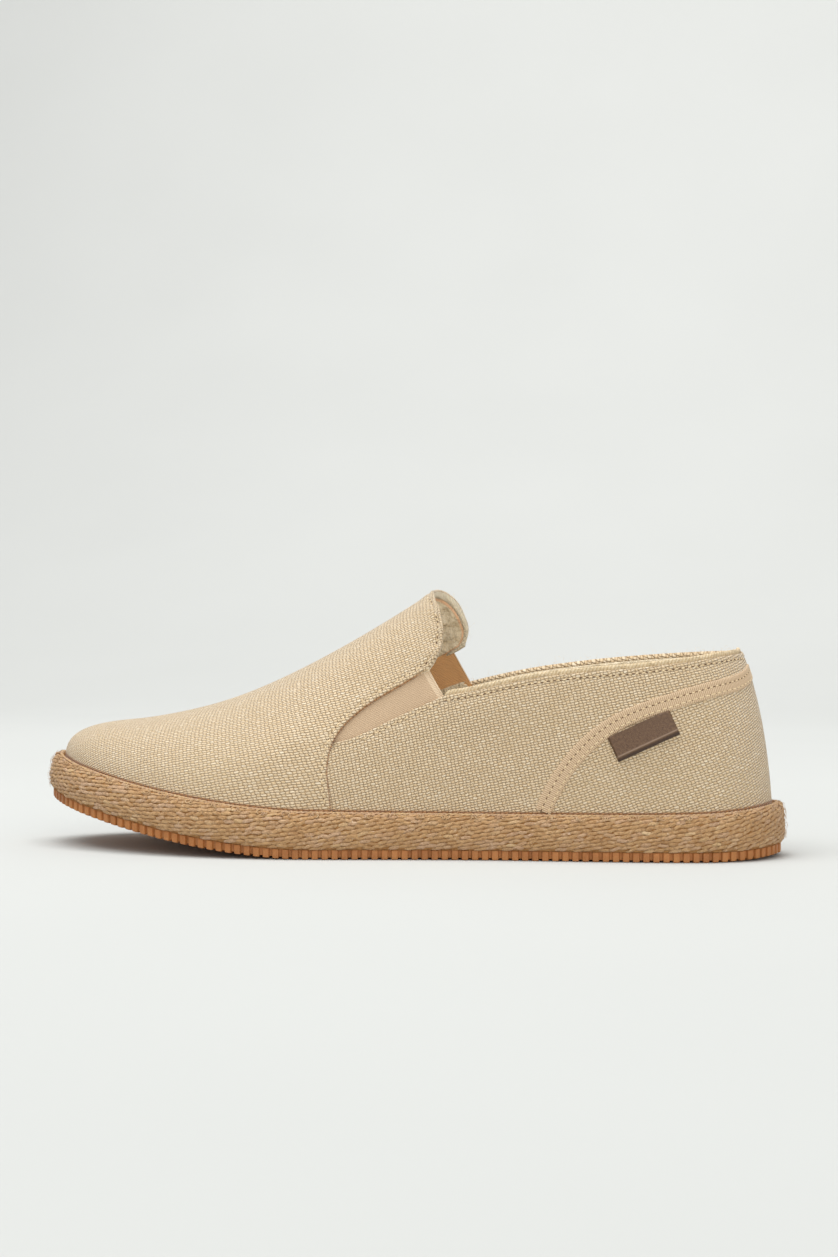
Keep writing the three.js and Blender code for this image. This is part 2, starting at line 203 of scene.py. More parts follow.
def column(name_lat, name_med=None):
    """A column of SECTIONS as a smooth closed function of u, once round the shoe from 0 to ROUND."""
    lateral = [row[COLUMNS.index(name_lat)] for row in SECTIONS]
    medial = [row[COLUMNS.index(name_med or name_lat)] for row in SECTIONS]
    knots = np.array(lateral + medial[-2:0:-1], dtype=float)
    eye = np.eye(ROUND)
    matrix = 4.0 * eye + np.roll(eye, 1, axis=1) + np.roll(eye, -1, axis=1)
    controls = np.linalg.solve(matrix, 6.0 * knots)

    def at(u):
        u = np.asarray(u, dtype=float)
        i = np.floor(u).astype(int)
        f = u - i
        weights = ((1 - f) ** 3, 3 * f ** 3 - 6 * f ** 2 + 4, -3 * f ** 3 + 3 * f ** 2 + 3 * f + 1, f ** 3)
        return sum(weight * controls[(i + k - 1) % ROUND] for k, weight in enumerate(weights)) / 6.0

    return at


edge_s = column("s_lat", "s_med")
edge_y = column("lat", "med")
spine_s = column("spine_s")
spine_y = column("spine_y")
spine_z = column("spine_z")
square = column("square")
tuck = column("tuck_lat", "tuck_med")
fall = column("fall")
band_top = column("band")
lean = column("lean")


def catmull(points, pieces):
    """A smooth line through the points, pieces steps between each two."""
    points = np.asarray(points, dtype=float)
    padded = np.vstack([points[:1], points, points[-1:]])
    t = np.linspace(0.0, 1.0, pieces, endpoint=False)[:, None]
    line = []
    for i in range(len(points) - 1):
        a, b, c, d = padded[i:i + 4]
        line.append(0.5 * (2 * b + (c - a) * t + (2 * a - 5 * b + 4 * c - d) * t ** 2
                           + (3 * b - a - 3 * c + d) * t ** 3))
    return np.vstack(line + [points[-1:]])


# ---------------------------------------------------------------- the last
def lift(s):
    """Height of the sole's underside above the floor."""
    toe = np.maximum(0.0, (s - TOE_SPRING["from"]) / (LENGTH - TOE_SPRING["from"]))
    heel = np.maximum(0.0, (HEEL_SPRING["to"] - s) / HEEL_SPRING["to"])
    toe_rise = TOE_SPRING["lift"] * toe ** TOE_SPRING["power"]
    return toe_rise + HEEL_SPRING["lift"] * heel ** HEEL_SPRING["power"]


def outline(u, inset):
    """The sole's outline in plan, moved in by inset, as s and y."""
    step = 1e-3
    ds = edge_s(u + step) - edge_s(u - step)
    dy = edge_y(u + step) - edge_y(u - step)
    length = np.hypot(ds, dy)
    return edge_s(u) - dy / length * inset, edge_y(u) + ds / length * inset


def surface(u, v, grow=0.0):
    """Points of the upper's outer face, moved outwards by grow."""
    u, v, grow = np.broadcast_arrays(np.asarray(u, float), np.asarray(v, float), np.asarray(grow, float))
    foot_s, foot_y = outline(u, lean(u) + BAND_THICK + GAP - grow)
    foot_z = lift(foot_s) + JUTE_FLOOR + GAP
    power = 2.0 / square(u)
    angle = np.clip(v, 0.0, 1.0) * math.pi / 2.0
    across = 1.0 - np.maximum(np.cos(angle), 0.0) ** power
    up = np.sin(angle) ** power
    ds = spine_s(u) - foot_s
    dy = spine_y(u) - foot_y
    tucked = tuck(u) * (1.0 - (1.0 - up) ** 6) * (1.0 - up) / np.hypot(ds, dy)
    s = foot_s + ds * (across + tucked)
    y = foot_y + dy * (across + tucked)
    z = foot_z + (spine_z(u) + grow - foot_z) * up + fall(u) * (s - spine_s(u)) * up ** 2
    return np.stack([s, y, z], axis=-1)


def on_upper(uv, grow=0.0):
    return surface(uv[:, 0], uv[:, 1], grow)


def tangents(uv):
    """How each point moves with u and with v, and the outward normal."""
    du, dv = 1e-3, 1e-4
    u, v = uv[:, 0], np.clip(uv[:, 1], dv, 1.0 - 2 * dv)
    along_u = (surface(u + du, v) - surface(u - du, v)) / (2 * du)
    along_v = (surface(u, v + dv) - surface(u, v - dv)) / (2 * dv)
    return along_u, along_v, unit(np.cross(along_u, along_v))


def locate(side, line):
    """The (u, v) of side-view points (s, z) on one side of the upper."""
    low, high = (0.0, HALF) if side == "lateral" else (HALF, ROUND)
    us, vs = np.meshgrid(np.linspace(low, high, 97), np.linspace(0.02, 0.98, 60), indexing="ij")
    seeds = surface(us.ravel(), vs.ravel())[:, (0, 2)]
    line = np.asarray(line, float)
    nearest = [int(np.argmin(((seeds - point) ** 2).sum(1))) for point in line]
    uv = np.stack([us.ravel()[nearest], vs.ravel()[nearest]], axis=1)
    for _ in range(25):
        along_u, along_v, _ = tangents(uv)
        miss = on_upper(uv)[:, (0, 2)] - line
        jacobian = np.stack([along_u[:, (0, 2)], along_v[:, (0, 2)]], axis=2)
        square_form = np.einsum("nij,nik->njk", jacobian, jacobian) + 1e-3 * np.eye(2)
        step = np.linalg.solve(square_form, np.einsum("nij,ni->nj", jacobian, miss)[..., None])[..., 0]
        uv = np.clip(uv - np.clip(step, (-0.3, -0.05), (0.3, 0.05)), (low, 0.0), (high, 1.0))
    return uv


def height_at(u, z):
    """The v at which the upper reaches the height z."""
    low, high = 0.0, 1.0
    for _ in range(40):
        middle = (low + high) / 2.0
        if surface(u, middle)[2] < z:
            low = middle
        else:
            high = middle
    return (low + high) / 2.0


def place(points):
    """From s, y, z in millimetres to the row frame in metres, its origin under the middle of the shoe."""
    widths = edge_y(np.arange(0, ROUND, 0.25))
    middle = (widths.min() + widths.max()) / 2.0
    s, y, z = np.moveaxis(np.asarray(points, float), -1, 0)
    return np.stack([LENGTH / 2.0 - s, y - middle, z], axis=-1) * 1e-3


# ---------------------------------------------------------------- meshes
def add_piece(name, points, faces, material, node, attributes=None, sharp=60):
    """A mesh object from s, y, z points, riding on the shoe. Points that coincide are welded."""
    points = place(points)
    _, first, index = np.unique(np.round(points, 7), axis=0, return_index=True, return_inverse=True)
    index = index.reshape(-1)
    clean = []
    for face in faces:
        ids = [int(index[i]) for i in face]
        ids = [a for a, b in zip(ids, ids[1:] + ids[:1]) if a != b]
        if len(set(ids)) == len(ids) and len(ids) > 2:
            clean.append(ids)
    mesh = bpy.data.meshes.new(name)
    mesh.from_pydata(points[first].tolist(), [], clean)
    for key, values in (attributes or {}).items():
        layer = mesh.attributes.new(key, "FLOAT_VECTOR", "POINT")
        layer.data.foreach_set("vector", np.asarray(values, np.float32)[first].ravel())
    built = bmesh.new()
    built.from_mesh(mesh)
    bmesh.ops.recalc_face_normals(built, faces=built.faces)
    built.to_mesh(mesh)
    built.free()
    mesh.shade_smooth()
    mesh.set_sharp_from_angle(angle=math.radians(sharp))
    mesh.materials.append(material)
    piece = bpy.data.objects.new(name, mesh)
    bpy.context.scene.collection.objects.link(piece)
    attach(piece, "root")
    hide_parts(node)


def grid_faces(rows, columns, wrap_rows=False, wrap_columns=False):
    """Quads of a grid of points, stored row by row."""
    faces = []
    for i in range(rows if wrap_rows else rows - 1):
        for j in range(columns if wrap_columns else columns - 1):
            a, b = i * columns, (i + 1) % rows * columns
            k = (j + 1) % columns
            faces.append((a + j, a + k, b + k, b + j))
    return faces


def spindle_faces(stations, sides):
    """Faces of a closed form made of rings between two end points."""
    last = 1 + (stations - 2) * sides
    faces = []
    for k in range(sides):
        j = (k + 1) % sides
        faces.append((0, 1 + j, 1 + k))
        for a in range(1, last - sides, sides):
            faces.append((a + k, a + j, a + sides + j, a + sides + k))
        a = last - sides
        faces.append((a + k, a + j, last))
    return faces


def turns(sides):
    return np.arange(sides) * 2 * math.pi / sides


def tube(points, normals, radius, sides):
    """Points and faces of a round tube along a line."""
    tangent = unit(np.gradient(points, axis=0))
    across = unit(np.cross(tangent, normals))
    up = np.cross(across, tangent)
    angles = turns(sides)[None, :, None]
    ring = across[:, None] * np.cos(angles) + up[:, None] * np.sin(angles)
    body = points[:, None] + ring * radius[:, None, None]
    faces = grid_faces(len(points), sides, wrap_columns=True)
    last = (len(points) - 1) * sides
    faces += [tuple(range(sides)), tuple(range(last, last + sides))]
    return body.reshape(-1, 3), faces


class Bundle:
    """Many small closed forms gathered into one mesh."""

    def __init__(self):
        self.points, self.faces, self.data, self.count = [], [], [], 0

    def add(self, points, faces, data):
        self.faces += [tuple(i + self.count for i in face) for face in faces]
        self.points.append(points)
        self.data.append(data)
        self.count += len(points)

    def build(self, name, key, material, slot, node):
        data = {key: np.vstack(self.data)}
        add_piece(name, np.vstack(self.points), self.faces, material, node, data)


class Sheet:
    """A triangle mesh on the upper's surface, kept as the (u, v) of its vertices."""

    def __init__(self, u_low=0.0, u_high=ROUND):
        columns = int(round((u_high - u_low) * STEPS)) + 1
        u, v = np.linspace(u_low, u_high, columns), np.linspace(0.0, 1.0, RISE + 1)
        self.uv = np.stack(np.meshgrid(u, v, indexing="ij"), axis=-1).reshape(-1, 2)
        quads = np.array(grid_faces(columns, RISE + 1))
        self.tris = np.vstack([quads[:, (0, 1, 2)], quads[:, (0, 2, 3)]])

    def split(self, field, iso, snap=0.04):
        """Cuts the triangles along field = iso, where field is worked out from (u, v)."""
        values = field(self.uv) - iso
        values[np.abs(values) < snap] = 0.0
        signs = np.sign(values)[self.tris]
        crossing = (signs.min(axis=1) < 0) & (signs.max(axis=1) > 0)
        made, points, pieces = {}, [], []
        for tri in self.tris[crossing]:
            above, below = [], []
            for a, b in zip(tri, np.roll(tri, -1)):
                if values[a] >= 0:
                    above.append(a)
                if values[a] <= 0:
                    below.append(a)
                if values[a] * values[b] < 0:
                    key = (min(a, b), max(a, b))
                    if key not in made:
                        t = values[key[0]] / (values[key[0]] - values[key[1]])
                        made[key] = len(self.uv) + len(points)
                        points.append(self.uv[key[0]] * (1 - t) + self.uv[key[1]] * t)
                    above.append(made[key])
                    below.append(made[key])
            for polygon in (above, below):
                pieces += [(polygon[0], polygon[i], polygon[i + 1]) for i in range(1, len(polygon) - 1)]
        if pieces:
            self.uv = np.vstack([self.uv, points])
            self.tris = np.vstack([self.tris[~crossing], pieces])
        return self

    def keep(self, field):
        """Drops the triangles on the negative side of the field."""
        centres = field(self.uv[self.tris].mean(axis=1))
        used, inverse = np.unique(self.tris[centres > 0], return_inverse=True)
        self.uv = self.uv[used]
        self.tris = inverse.reshape(-1, 3)
        return self

    def shell(self, outer, inner):
        """Points and faces of a closed shell between two grow values given for each vertex."""
        count = len(self.uv)
        top = on_upper(self.uv, outer)
        keys = np.unique(np.round(top, 4), axis=0, return_inverse=True)[1].reshape(-1)
        edges = {}
        for tri in self.tris:
            for a, b in zip(tri, np.roll(tri, -1)):
                pair = tuple(sorted((keys[a], keys[b])))
                edges.setdefault(pair, []).append((a, b))
        rim = [uses[0] for pair, uses in edges.items() if len(uses) == 1 and pair[0] != pair[1]]
        faces = [tuple(t) for t in self.tris] + [tuple(t[::-1] + count) for t in self.tris]
        faces += [(b, a, a + count, b + count) for a, b in rim]
        return np.vstack([top, on_upper(self.uv, inner)]), faces


# ---------------------------------------------------------------- areas of the upper
def line_away(points, line):
    """Distance of side-view points from a line of points."""
    nearest = np.full(len(points), np.inf)
    for a, b in zip(line[:-1], line[1:]):
        edge = b - a
        t = np.clip(((points - a) @ edge) / max(edge @ edge, 1e-9), 0.0, 1.0)
        nearest = np.minimum(nearest, np.linalg.norm(points - a - t[:, None] * edge, axis=1))
    return nearest


def polygon_distance(points, polygon):
    """Distance of side-view points from a polygon's edge, positive inside."""
    closed = np.vstack([polygon, polygon[:1]])
    inside = np.zeros(len(points), bool)
    for a, b in zip(closed[:-1], closed[1:]):
        straddles = (a[1] > points[:, 1]) != (b[1] > points[:, 1])
        with np.errstate(divide="ignore", invalid="ignore"):
            cut = a[0] + (points[:, 1] - a[1]) * (b[0] - a[0]) / (b[1] - a[1])
        inside ^= straddles & (points[:, 0] < cut)
    nearest = line_away(points, closed)
    return np.where(inside, nearest, -nearest)


def by_side(measure, shape_of):
    """A field on (u, v) measured from each side's shape, blended between the sides over the spine."""
    shapes = {side: shape_of(side) for side in SIDES}

    def field(uv):
        point = on_upper(uv)
        medial = smoothstep(-SPINE_BLEND, SPINE_BLEND, point[:, 1] - SPINE_Y)
        flat = point[:, (0, 2)]
        return (1 - medial) * measure(flat, shapes["lateral"]) + medial * measure(flat, shapes["medial"])

    return field


def vamp_polygon(side):
    edge = np.vstack([catmull(VAMP_EDGE[side], 8)[:-1], catmull(TAB_EDGE[side], 8)])
    return np.vstack([edge, [(150, 150), (400, 150), (400, OUTSIDE), (165, OUTSIDE)]])


def quarter_polygon(side):
    top = np.vstack([catmull(GORE_FOOT[side], 8)[::-1][:-1], catmull(TOPLINE[side], 8)])
    under_vamp = 171.0
    tip_z = GORE_FOOT[side][-1][1]
    front = [(under_vamp, OUTSIDE), (under_vamp, tip_z)]
    return np.vstack([front, top, [(OUTSIDE, 77), (OUTSIDE, OUTSIDE)]])


def gore_polygon(side):
    """The elastic, with the parts that run on under the vamp and the quarter."""
    hidden = 3.5
    upper = catmull(VAMP_EDGE[side][3:], 6)[::-1] + (0.5 * hidden, hidden)
    lower = catmull(GORE_FOOT[side], 6) - (0.5 * hidden, hidden)
    return np.vstack([upper, lower[::-1]])


def heel_polygon(_):
    """What lies behind and below the tape."""
    back = ((OUTSIDE, TAPE_BACK), (0, TAPE_BACK))
    line = catmull(back + TAPE_LINE + ((91, 8), (92, OUTSIDE)), 6)
    return np.vstack([line, [(OUTSIDE, OUTSIDE)]])


in_vamp = by_side(polygon_distance, vamp_polygon)
in_quarter = by_side(polygon_distance, quarter_polygon)
in_heel = by_side(polygon_distance, heel_polygon)
off_tab_edge = by_side(line_away, lambda side: catmull(TAB_EDGE[side], 8))
off_tape = by_side(line_away, lambda side: catmull(TAPE_LINE, 8))


def above_band(uv):
    """Height of a point of the upper above the jute band's top."""
    point = on_upper(uv)
    return point[:, 2] - lift(point[:, 0]) - band_top(uv[:, 0])


def creases(uv):
    """How far the cloth stands off its smooth surface."""
    point = on_upper(uv)
    total = np.zeros(len(uv))
    for side, start, end, width, height in CREASES:
        start, end = np.array(start, float), np.array(end, float)
        edge = end - start
        flat = point[:, (0, 2)] - start
        along = flat @ edge / (edge @ edge)
        away = np.linalg.norm(flat - np.clip(along, 0.0, 1.0)[:, None] * edge, axis=1)
        fade = np.sin(np.clip(along, -0.25, 1.25) * math.pi / 1.5 + math.pi / 6.0)
        here = smoothstep(4.0, 12.0, -point[:, 1] if side == "lateral" else point[:, 1])
        total += height * np.exp(-(away / width) ** 2) * np.clip(fade, 0.0, 1.0) * here
    return total * smoothstep(0.1, 0.25, uv[:, 1])


def ripple(uv):
    """The soft waves of the tab's free edge."""
    _, y, z = on_upper(uv).T
    return 0.45 * np.sin(z * 0.62 + y * 0.3) + 0.25 * np.sin(z * 0.27 + 1.0)


# ---------------------------------------------------------------- flat cloth
CLOTH_U = np.linspace(0.0, ROUND, ROUND * 8 + 1)
CLOTH_V = np.linspace(0.0, 1.0, 81)
BELT = 24  # the station of CLOTH_V along which the quarters' cloth is measured


def bilinear(table, uv):
    """Values at (u, v) of a table over CLOTH_U and CLOTH_V."""
    size = np.array(table.shape[:2]) - 1
    at = uv / (ROUND, 1.0) * size
    i, j = np.clip(at.astype(int), 0, size - 1).T
    a = (at[:, 0] - i)[:, None]
    b = (at[:, 1] - j)[:, None]
    return ((1 - a) * (1 - b) * table[i, j] + a * (1 - b) * table[i + 1, j]
            + (1 - a) * b * table[i, j + 1] + a * b * table[i + 1, j + 1])


def vamp_cloth(uv):
    """Where each point lies in the flat cloth of the vamp: along its ridge, and down from it."""
    lines = surface(CLOTH_U[:, None], CLOTH_V[::-1])
    step = np.diff(lines, axis=1)
    run = lines[:, -1] - lines[:, 0]
    slope = np.arctan(-fall(CLOTH_U))[:, None]
    turn = np.arctan2(np.abs(run[:, 1]), run[:, 0])[:, None]
    drop = -step[..., 2]
    along = np.cos(turn) * np.linalg.norm(step, axis=2) + np.sin(turn) * np.sin(slope) * drop
    fallen = np.stack([step[..., 0], step[..., 1], np.cos(slope) * drop])
    down = np.sin(turn) * np.linalg.norm(fallen, axis=0)
    ridge = np.diff(lines[:, 0], axis=0)
    ridge_run = running(np.sign(ridge[:, 0]) * np.linalg.norm(ridge, axis=1))
    sign = np.where(CLOTH_U < HALF, -1.0, 1.0)[:, None]
    table = np.stack([running(along) + ridge_run[:, None], sign * running(down)], axis=-1)
    return bilinear(table[:, ::-1], uv)


def wall_cloth(uv):
    """Where each point lies in the flat cloth of the quarters: round the shoe, and up from the sole."""
    points = surface(CLOTH_U[:, None], CLOTH_V)
    run = running(np.linalg.norm(np.diff(points[:, BELT], axis=0), axis=1))
    run = np.where(CLOTH_U < HALF, run, run - run[-1])
    up = running(np.linalg.norm(np.diff(points, axis=1), axis=2))
    return bilinear(np.stack([np.broadcast_to(run[:, None], up.shape), up], axis=-1), uv)


def turned(cloth, degrees, extra):
    """Places in the flat cloth turned in its plane, with one more value for the material."""
    c, s = math.cos(math.radians(degrees)), math.sin(math.radians(degrees))
    return np.stack([cloth[:, 0] * c + cloth[:, 1] * s, cloth[:, 1] * c - cloth[:, 0] * s, extra], axis=1)


# ---------------------------------------------------------------- node materials
def linear(color):
    """An 8-bit sRGB colour as linear RGBA."""
    def channel(value):
        value /= 255.0
        return value / 12.92 if value <= 0.04045 else ((value + 0.055) / 1.055) ** 2.4

    return *map(channel, color), 1.0


class Material:
    """A Principled material and the nodes that feed it. Colours are sockets or 8-bit sRGB."""

    def __init__(self, name, roughness, **constants):
        self.material = bpy.data.materials.new(name)
        self.material.use_nodes = True
        self.tree = self.material.node_tree
        self.tree.nodes.clear()
        self.shader = self.node("ShaderNodeBsdfPrincipled", {"Roughness": roughness})
        for key, value in constants.items():
            self.shader.inputs[key.replace("_", " ")].default_value = value
        output = self.node("ShaderNodeOutputMaterial")
        self.tree.links.new(self.shader.outputs[0], output.inputs["Surface"])

    def node(self, kind, inputs=None, **settings):
        made = self.tree.nodes.new(kind)
        for key, value in settings.items():
            setattr(made, key, value)
        for key, value in (inputs or {}).items():
            self.plug(made.inputs[key], value)
        return made

    def plug(self, socket, value):
        if isinstance(value, bpy.types.NodeSocket):
            self.tree.links.new(value, socket)
        else:
            socket.default_value = value

    def attribute(self, name):
        return self.node("ShaderNodeAttribute", attribute_name=name).outputs["Vector"]

    def position(self):
        return self.node("ShaderNodeNewGeometry").outputs["Position"]

    def split(self, vector):
        return tuple(self.node("ShaderNodeSeparateXYZ", {0: vector}).outputs)

    def join(self, x, y, z=0.0):
        return self.node("ShaderNodeCombineXYZ", {0: x, 1: y, 2: z}).outputs[0]

    def math(self, operation, a, b=0.0, c=0.0):
        return self.node("ShaderNodeMath", {0: a, 1: b, 2: c}, operation=operation).outputs[0]

    def plus(self, a, b):
        return self.math("ADD", a, b)

    def minus(self, a, b):
        return self.math("SUBTRACT", a, b)

    def times(self, a, b):
        return self.math("MULTIPLY", a, b)

    def sine(self, value, rate):
        return self.math("SINE", self.times(value, rate))

    def noise(self, vector, scale, detail=2.0, roughness=0.5):
        inputs = {"Vector": vector, "Scale": scale, "Detail": detail, "Roughness": roughness}
        return self.node("ShaderNodeTexNoise", inputs).outputs["Fac"]

    def range(self, value, low, high, to_low=0.0, to_high=1.0):
        inputs = {"Value": value, "From Min": low, "From Max": high, "To Min": to_low, "To Max": to_high}
        return self.node("ShaderNodeMapRange", inputs).outputs[0]

    def choose(self, share, a, b):
        return self.node("ShaderNodeMix", {0: share, 2: a, 3: b}).outputs[0]

    def mix(self, share, a, b):
        a, b = (color if isinstance(color, bpy.types.NodeSocket) else linear(color) for color in (a, b))
        return self.node("ShaderNodeMix", {0: share, 6: a, 7: b}, data_type="RGBA").outputs[2]

    def blend(self, value, span, a, b):
        """From one colour to another as value goes over a span."""
        return self.mix(self.range(value, *span), a, b)

    def tint(self, base, value, span, shares, color):
        """A share of a colour over base, going from the first share to the second over a span of value."""
        return self.mix(self.range(value, *span, *shares), base, color)

    def ramp(self, factor, stops):
        made = self.node("ShaderNodeValToRGB", {0: factor})
        elements = made.color_ramp.elements
        while len(elements) < len(stops):
            elements.new(0.5)
        for element, (position, color) in zip(elements, stops):
            element.position = position
            element.color = linear(color)
        return made.outputs[0]

    def bump(self, height, depth, **more):
        """A bump of depth millimetres where height goes from 0 to 1."""
        inputs = {"Height": height, "Distance": depth * 1e-3, "Strength": 1.0, **more}
        return self.node("ShaderNodeBump", inputs).outputs[0]

    def finish(self, color, normal=None, roughness=None):
        for name, value in (("Base Color", color), ("Normal", normal), ("Roughness", roughness)):
            if value is not None:
                self.plug(self.shader.inputs[name], value)
        return self.material


def canvas_weave(m, p, q):
    """A plain weave: its height, how each thread varies along itself, and each crossing's own shade."""
    drift_x = m.minus(m.noise(m.join(p, q), 0.3), 0.5)
    drift_y = m.minus(m.noise(m.join(q, p), 0.45), 0.5)
    x = m.plus(m.math("DIVIDE", p, CANVAS_PITCH[0]), m.times(drift_x, 0.9))
    y = m.plus(m.math("DIVIDE", q, CANVAS_PITCH[1]), m.times(drift_y, 0.9))
    column_id, row_id = m.math("FLOOR", x), m.math("FLOOR", y)
    parity = m.math("FLOORED_MODULO", m.plus(column_id, row_id), 2.0)
    side = m.math("ABSOLUTE", m.minus(m.minus(x, column_id), 0.5))
    rise = m.math("ABSOLUTE", m.minus(m.minus(y, row_id), 0.5))

    def fall_off(distance, reach, sharpness):
        """1 in the middle of a thread, down to 0 at its reach."""
        ratio = m.math("MINIMUM", m.math("DIVIDE", distance, reach), 1.0)
        return m.minus(1.0, m.math("POWER", ratio, sharpness))

    from_lying = m.choose(parity, side, m.minus(1.0, side))
    lying = m.times(fall_off(from_lying, 0.64, 5.0), fall_off(rise, 0.45, 4.0))
    standing = m.times(m.times(fall_off(side, 0.42, 5.0), fall_off(rise, 0.62, 4.0)), m.times(parity, 0.74))
    along_row = m.noise(m.join(m.times(p, 0.22), m.times(row_id, 3.71)), 1.0, 3.0)
    along_column = m.noise(m.join(m.times(column_id, 2.93), m.times(q, 0.22), 5.0), 1.0, 3.0)
    crossing = m.noise(m.join(m.times(column_id, 7.3), m.times(row_id, 9.1)), 1.0, 0.0)
    return m.math("MAXIMUM", lying, standing), m.choose(parity, along_row, along_column), crossing


def canvas_material():
    """Coarse cotton and jute. The third weave value is 1 where painted shade, partly a glue stain, darkens
    the cloth along the band and the vamp's edge, and -1 for the painted light that brightens the tab's inner
    rim.
    """
    m = Material("canvas", 0.92, Sheen_Weight=0.42, Sheen_Roughness=0.42, Specular_IOR_Level=0.25)
    p, q, glue_and_painted_shading = m.split(m.attribute("weave"))
    height, thread, crossing = canvas_weave(m, p, q)
    fibre = m.noise(m.join(m.times(p, 1.2), m.times(q, 1.2)), 2.6, 4.0, 0.65)
    uneven = m.noise(m.join(p, q), 0.05, 3.0)
    # The ramp paints shade into the low gaps between the threads and a highlight on their crowns.
    base = m.ramp(height, (
        (0.0, (108, 70, 36)), (0.18, (158, 120, 78)), (0.42, (203, 174, 134)),
        (0.65, (223, 198, 162)), (0.85, (235, 214, 181)), (1.0, (240, 225, 198))))
    base = m.tint(base, crossing, (0.35, 0.65), (0.35, 0.0), (200, 171, 132))
    base = m.tint(base, thread, (0.3, 0.7), (0.45, 0.0), (196, 170, 130))
    base = m.tint(base, thread, (0.56, 0.8), (0.0, 0.4), (240, 230, 208))
    base = m.tint(base, fibre, (0.42, 0.75), (0.0, 0.3), (188, 160, 120))
    base = m.tint(base, uneven, (0.35, 0.65), (0.0, 0.15), (202, 175, 136))
    # Painted shade, partly a glue stain, along the band and the vamp's edge.
    base = m.tint(base, glue_and_painted_shading, (0.1, 1.0), (0.0, 0.9), (158, 100, 48))
    # Painted light on the tab's inner rim, which lies in shade.
    base = m.tint(base, glue_and_painted_shading, (-1.0, 0.0), (0.75, 0.0), (255, 243, 214))
    return m.finish(base, m.bump(m.math("MULTIPLY_ADD", fibre, 0.2, height), 0.55))


def lining_material():
    """Off-white cotton. binding is 1 on the tab's peach edge, and -1 on the collar's whip-stitched bead."""
    m = Material("lining", 0.9, Sheen_Weight=0.1, Specular_IOR_Level=0.25)
    weave = m.attribute("weave")
    p, q, binding = m.split(weave)
    twill = m.sine(m.plus(p, q), 9.0)
    fleck = m.noise(weave, 2.2, 3.0)
    soft = m.noise(m.join(p, q), 0.2, 3.0)
    whip = m.range(m.sine(m.plus(p, m.times(q, 0.4)), 5.2), -1.0, 1.0)
    stitched = m.times(m.range(binding, -1.0, 0.0, 1.0, 0.0), m.math("MULTIPLY_ADD", whip, 0.5, 0.35))
    base = m.blend(fleck, (0.35, 0.7), (230, 212, 180), (247, 234, 208))
    base = m.tint(base, soft, (0.4, 0.65), (0.0, 0.45), (214, 193, 156))
    base = m.tint(base, binding, (0.0, 1.0), (0.0, 1.0), (234, 190, 150))
    base = m.mix(stitched, base, (196, 170, 130))
    crumpled = m.bump(m.noise(m.join(p, q), 0.33, 3.0, 0.55), 2.2)
    height = m.math("MULTIPLY_ADD", twill, 0.15, m.times(fleck, 0.8))
    return m.finish(base, m.bump(height, 0.12, Normal=crumpled))


def elastic_material():
    """Covered elastic webbing with fine ribs. back is 1 on its inner face, and -1 on its hem."""
    m = Material("elastic", 0.72, Sheen_Weight=0.15, Specular_IOR_Level=0.3)
    weave = m.attribute("weave")
    p, q, back = m.split(weave)
    rib = m.sine(q, 2 * math.pi / 0.62)
    knit = m.sine(p, 2 * math.pi / 0.5)
    fleck = m.noise(weave, 1.5, 3.0)
    base = m.blend(rib, (-1.0, 1.0), (186, 158, 127), (197, 171, 140))
    base = m.tint(base, fleck, (0.4, 0.7), (0.0, 0.35), (186, 154, 120))
    base = m.tint(base, back, (0.0, 1.0), (0.0, 0.92), (236, 182, 126))
    base = m.tint(base, back, (-1.0, 0.0), (0.7, 0.0), (220, 197, 166))
    height = m.plus(m.math("MULTIPLY_ADD", knit, 0.2, rib), m.times(fleck, 0.6))
    return m.finish(base, m.bump(height, 0.05))


def tape_material():
    """Grosgrain ribbon. rib is 1 on its ribs and 0 between them; the colour is darkened between the ribs as
    painted shade in the grooves.
    """
    m = Material("tape", 0.62, Sheen_Weight=0.15, Specular_IOR_Level=0.35)
    p, q, rib = m.split(m.attribute("weave"))
    fine = m.noise(m.join(p, m.times(q, 5.0)), 1.3, 3.0)
    base = m.blend(rib, (0.0, 1.0), (160, 124, 86), (219, 195, 163))
    base = m.tint(base, fine, (0.4, 0.7), (0.0, 0.3), (226, 207, 178))
    return m.finish(base, m.bump(fine, 0.05))


def thread_material(name, dark, light):
    """Twisted sewing thread."""
    m = Material(name, 0.6, Specular_IOR_Level=0.3)
    twist = m.noise(m.attribute("weave"), 2.0)
    return m.finish(m.blend(twist, (0.35, 0.65), dark, light), m.bump(twist, 0.08))


def label_material():
    """Smooth brown leather. The third weave value is high on the painted highlight along the ridge above its
    fold, a little lighter at its ends, and -1 for the painted shade on its fold.
    """
    m = Material("label", 0.5, Specular_IOR_Level=0.4)
    weave = m.attribute("weave")
    _, _, painted_light_and_pale_ends = m.split(weave)
    grain = m.node("ShaderNodeTexVoronoi", {"Vector": weave, "Scale": 2.6}).outputs["Distance"]
    fleck = m.noise(weave, 1.1, 4.0, 0.6)
    base = m.blend(fleck, (0.35, 0.7), (87, 62, 43), (111, 84, 61))
    base = m.tint(base, painted_light_and_pale_ends, (0.2, 1.0), (0.0, 0.6), (160, 136, 114))
    base = m.tint(base, painted_light_and_pale_ends, (-1.0, -0.2), (0.75, 0.0), (52, 38, 32))
    return m.finish(base, m.bump(m.plus(grain, fleck), 0.07), m.range(fleck, 0.3, 0.7, 0.44, 0.6))


